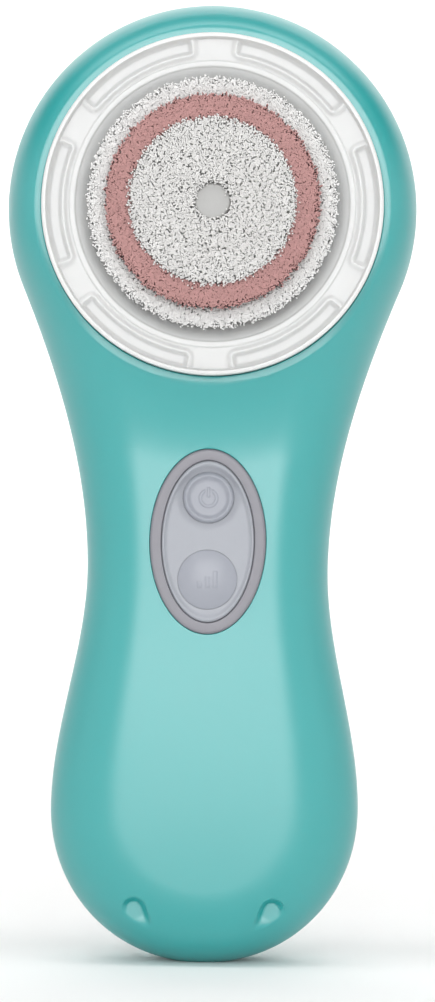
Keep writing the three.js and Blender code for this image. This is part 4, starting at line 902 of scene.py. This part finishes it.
def bristle_mesh(name, radii, pitch, per_tuft, length, seed, tuft_radius, splay, uneven):
    """Filaments as three-sided bars with shut ends, a little thicker at the root. A filament's root
    lies on a sunflower pattern in its tuft; it leans outwards from the tuft's middle in proportion
    to its distance from it, plus a random lean, and its length varies at random."""
    rng = np.random.default_rng(seed)
    middles = np.repeat(tuft_places(radii, pitch), per_tuft, axis=0)
    count = len(middles)
    order = np.tile(np.arange(per_tuft), count // per_tuft) + 0.5
    spiral = order * math.pi * (3 - math.sqrt(5)) + rng.uniform(0, 2 * math.pi, count)
    off = tuft_radius * np.sqrt(order / per_tuft)
    away = np.stack([np.cos(spiral), np.sin(spiral)], -1) * off[:, None]
    lean = away * splay + rng.normal(0, random_lean, (count, 2)) * length
    long = length * (1 + rng.normal(0, uneven, count))
    turn = rng.uniform(0, 2 * math.pi, count)
    corners = turn[:, None] + np.arange(3) * 2 * math.pi / 3
    shares = np.array([0.0, 1.0])
    girth = np.array([1.25, 1.15]) * filament_thickness / 2
    middle = (middles + away)[:, None, :] + lean[:, None, :] * shares[None, :, None]
    x = middle[..., 0, None] + girth[None, :, None] * np.cos(corners)[:, None, :]
    z = head_z + middle[..., 1, None] + girth[None, :, None] * np.sin(corners)[:, None, :]
    y = np.broadcast_to((root_plane - long[:, None] * shares)[..., None], x.shape)
    points = np.stack([x, y, z], -1).reshape(-1, 3)
    one = [[0, 1, 4], [0, 4, 3], [1, 2, 5], [1, 5, 4], [2, 0, 3], [2, 3, 5], [3, 4, 5], [2, 1, 0]]
    faces = (np.array(one) + 6 * np.arange(count)[:, None, None]).reshape(-1, 3)
    return mesh_object(name, points, faces, 80)


def filament_material(name, root, tip, length):
    """Nylon filament: darker towards the root and paler at the tip, which is painted shade for the
    shadow deep in the tuft, with a faint random tone from filament to filament. Light that enters
    a tip comes out of its sides, so the sides are shaded more as the tips are."""
    material = bpy.data.materials.new(name)
    material.use_nodes = True
    nodes, links = material.node_tree.nodes, material.node_tree.links
    principled = nodes["Principled BSDF"]
    where = nodes.new("ShaderNodeTexCoord").outputs["Object"]
    split = nodes.new("ShaderNodeSeparateXYZ")
    links.new(where, split.inputs["Vector"])
    # Root to tip: the darker root colour is painted shade for the shadow deep in the tuft.
    height = nodes.new("ShaderNodeMapRange")
    height.inputs["From Min"].default_value = root_plane
    height.inputs["From Max"].default_value = root_plane - length
    links.new(split.outputs["Y"], height.inputs["Value"])
    tone = nodes.new("ShaderNodeMix")
    tone.data_type = "RGBA"
    tone.inputs["A"].default_value = (*root, 1)
    tone.inputs["B"].default_value = (*tip, 1)
    links.new(height.outputs["Result"], tone.inputs["Factor"])
    noise = nodes.new("ShaderNodeTexNoise")
    noise.inputs["Scale"].default_value = 1800
    noise.inputs["Detail"].default_value = 2
    links.new(where, noise.inputs["Vector"])
    vary = nodes.new("ShaderNodeMapRange")
    vary.inputs["From Min"].default_value = 0.3
    vary.inputs["From Max"].default_value = 0.7
    vary.inputs["To Min"].default_value = 0.88
    vary.inputs["To Max"].default_value = 1.08
    links.new(noise.outputs["Fac"], vary.inputs["Value"])
    shade = nodes.new("ShaderNodeMix")
    shade.data_type = "RGBA"
    shade.blend_type = "MULTIPLY"
    shade.inputs["Factor"].default_value = 1
    links.new(tone.outputs["Result"], shade.inputs["A"])
    links.new(vary.outputs["Result"], shade.inputs["B"])
    links.new(shade.outputs["Result"], principled.inputs["Base Color"])
    geometry = nodes.new("ShaderNodeNewGeometry")
    facing = nodes.new("ShaderNodeMix")
    facing.data_type = "VECTOR"
    facing.inputs["Factor"].default_value = 0.6
    facing.inputs["B"].default_value = (0, -1, 0)
    links.new(geometry.outputs["Normal"], facing.inputs["A"])
    links.new(facing.outputs["Result"], principled.inputs["Normal"])
    principled.inputs["Roughness"].default_value = 0.45
    principled.inputs["Specular IOR Level"].default_value = 0.3
    return material


band_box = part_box("colour_bristles")
field_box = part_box("white_bristles")
outer_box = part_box("outer_bristles")
band_length = root_plane - band_box[0][1]
field_length = root_plane - field_box[0][1]
outer_length = root_plane - outer_box[0][1]
band_outer, band_inner = band_box[1][0] - 0.5 * mm, field_box[1][0]
# Each filament's first colour is its root, darker as painted shade deep in the tufts; the second is its tip.
white_nylon = filament_material("white_nylon", (0.63, 0.622, 0.61), (0.67, 0.662, 0.65), field_length)
rose_nylon = filament_material("rose_nylon", (0.375, 0.172, 0.163), (0.44, 0.23, 0.218), band_length)
outer_nylon = filament_material("outer_nylon", (0.72, 0.72, 0.71), (0.78, 0.78, 0.77), outer_length)
field = bristle_mesh(
    "white_tufts",
    radii=np.linspace(3.7 * mm, band_inner - 0.6 * mm, 7),
    pitch=1.5 * mm,
    per_tuft=100,
    length=field_length,
    seed=7,
    tuft_radius=0.6 * mm,
    splay=0.6,
    uneven=0.01,
)
band = bristle_mesh(
    "rose_tufts",
    radii=np.linspace(band_inner + 1.0 * mm, band_outer - 0.4 * mm, 3),
    pitch=1.35 * mm,
    per_tuft=100,
    length=band_length,
    seed=11,
    tuft_radius=0.55 * mm,
    splay=0.5,
    uneven=0.008,
)
outer_field = bristle_mesh(
    "outer_tufts",
    radii=np.linspace(band_outer + 1.0 * mm, band_outer + 2.5 * mm, 3),
    pitch=1.5 * mm,
    per_tuft=92,
    length=outer_length,
    seed=13,
    tuft_radius=0.6 * mm,
    splay=0.6,
    uneven=0.02,
)
place(field, "brush_core_unit", "white_filament", white_nylon, "white_bristles")
place(band, "brush_core_unit", "rose_filament", rose_nylon, "colour_bristles")
place(outer_field, "brush_head", "white_filament", outer_nylon, "outer_bristles")

# Centre pin: a flat grey plastic stud in the middle of the core, with a softened edge.

pin_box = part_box("centre_pin")
pin_radius = pin_box[1][0]
pin_front, pin_end = pin_box[0][1], pin_box[1][1]
pin_stem = 1.2 * mm
pin_shoulder = pin_front + 2.4 * mm
pin_edge = 0.4 * mm
pin_dish = 0.12 * mm
dish_share = 0.86
pin = turned(
    "pin_stud",
    [
        (0.0, pin_end),
        (pin_stem, pin_end),
        (pin_stem, pin_shoulder),
        (pin_radius, pin_shoulder),
        *arc((pin_radius - pin_edge, pin_front + pin_edge), pin_edge, 0, -90, 7),
        *[
            (pin_radius * share, pin_front + pin_dish * (1 - (share / dish_share) ** 2))
            for share in (0.8, 0.6, 0.4, 0.2)
        ],
        (0.0, pin_front + pin_dish),
    ],
    axis_point,
    96,
)
pin_plastic = plain_material("pin_plastic", (0.345, 0.345, 0.337), (0.37, 0.37, 0.362), 0.4, 500, 5000)
place(pin, "brush_core_unit", "pin_grey", pin_plastic, "centre_pin")

# ---------------------------------------------------------------------------------------------
# Studio: a pale floor that sweeps up into a backdrop, soft white light, and a room with pale walls
# and a darker ceiling round it.
# ---------------------------------------------------------------------------------------------


floor_front = -1.45
wall_behind = 1.8
wall_top = 3.5
bend = 0.6
half_paper = 1.8


def sweep():
    """A floor that turns up into a wall on a quarter circle, as one strip."""
    turn = np.radians(np.linspace(0, 90, 16))
    y = np.concatenate([[floor_front], wall_behind - bend * (1 - np.sin(turn)), [wall_behind]])
    z = np.concatenate([[0.0], bend * (1 - np.cos(turn)), [wall_top]])
    x = np.array([-half_paper, half_paper])
    points = np.stack(np.broadcast_arrays(x[None, :], y[:, None], z[:, None]), -1).reshape(-1, 3)
    return mesh_object("sweep", points, grid_triangles(np.arange(len(points)).reshape(-1, 2)))


backdrop = sweep()
paper = plain_material("paper", (0.9, 0.895, 0.89), (0.92, 0.915, 0.91), 0.8, 3, 500)
backdrop.data.materials.append(paper)


def soft_box(name, place_at, aim, size, power):
    """A rectangular area light that faces a point."""
    data = bpy.data.lights.new(name, "AREA")
    data.shape = "RECTANGLE"
    data.size, data.size_y = size
    data.energy = power
    lamp = bpy.data.objects.new(name, data)
    bpy.context.scene.collection.objects.link(lamp)
    away = np.array(aim) - np.array(place_at)
    lamp.location = place_at
    flat = math.hypot(away[0], away[1])
    lamp.rotation_euler = (math.atan2(flat, -away[2]), 0, math.atan2(-away[0], away[1]))
    return lamp


soft_box("front_left", (-0.24, -1.5, 0.34), (0, 0, 0.08), (0.42, 0.9), 6.6)
soft_box("front_right", (0.24, -1.5, 0.34), (0, 0, 0.08), (0.42, 0.9), 6.6)
soft_box("top", (0.0, -0.25, 1.25), (0, 0, 0.1), (2.2, 0.4), 9)
soft_box("upper_front", (0.0, -0.95, 0.95), (0, 0, 0.1), (1.6, 0.7), 3.6)
soft_box("left", (-1.2, -0.6, 0.6), (0, 0, 0.08), (1.2, 1.2), 1.6)
soft_box("right", (1.2, -0.6, 0.6), (0, 0, 0.08), (1.2, 1.2), 1.6)
soft_box("backdrop", (0.0, 1.0, 1.5), (0, 1.8, 0.7), (2.5, 0.5), 24)
world = bpy.data.worlds.new("studio")
world.use_nodes = True
world_nodes, world_links = world.node_tree.nodes, world.node_tree.links
direction = world_nodes.new("ShaderNodeTexCoord").outputs["Generated"]
upward = world_nodes.new("ShaderNodeSeparateXYZ")
room = world_nodes.new("ShaderNodeMapRange")
wall_light, ceiling_light = 0.92, 0.12
room.inputs["From Min"].default_value = 0.2
room.inputs["From Max"].default_value = 0.45
room.inputs["To Min"].default_value = wall_light
room.inputs["To Max"].default_value = ceiling_light
world_links.new(direction, upward.inputs["Vector"])
world_links.new(upward.outputs["Z"], room.inputs["Value"])
world_links.new(room.outputs["Result"], world_nodes["Background"].inputs["Strength"])
world_nodes["Background"].inputs["Color"].default_value = (1, 1, 1, 1)
bpy.context.scene.world = world
bpy.context.scene.view_settings.view_transform = "Standard"
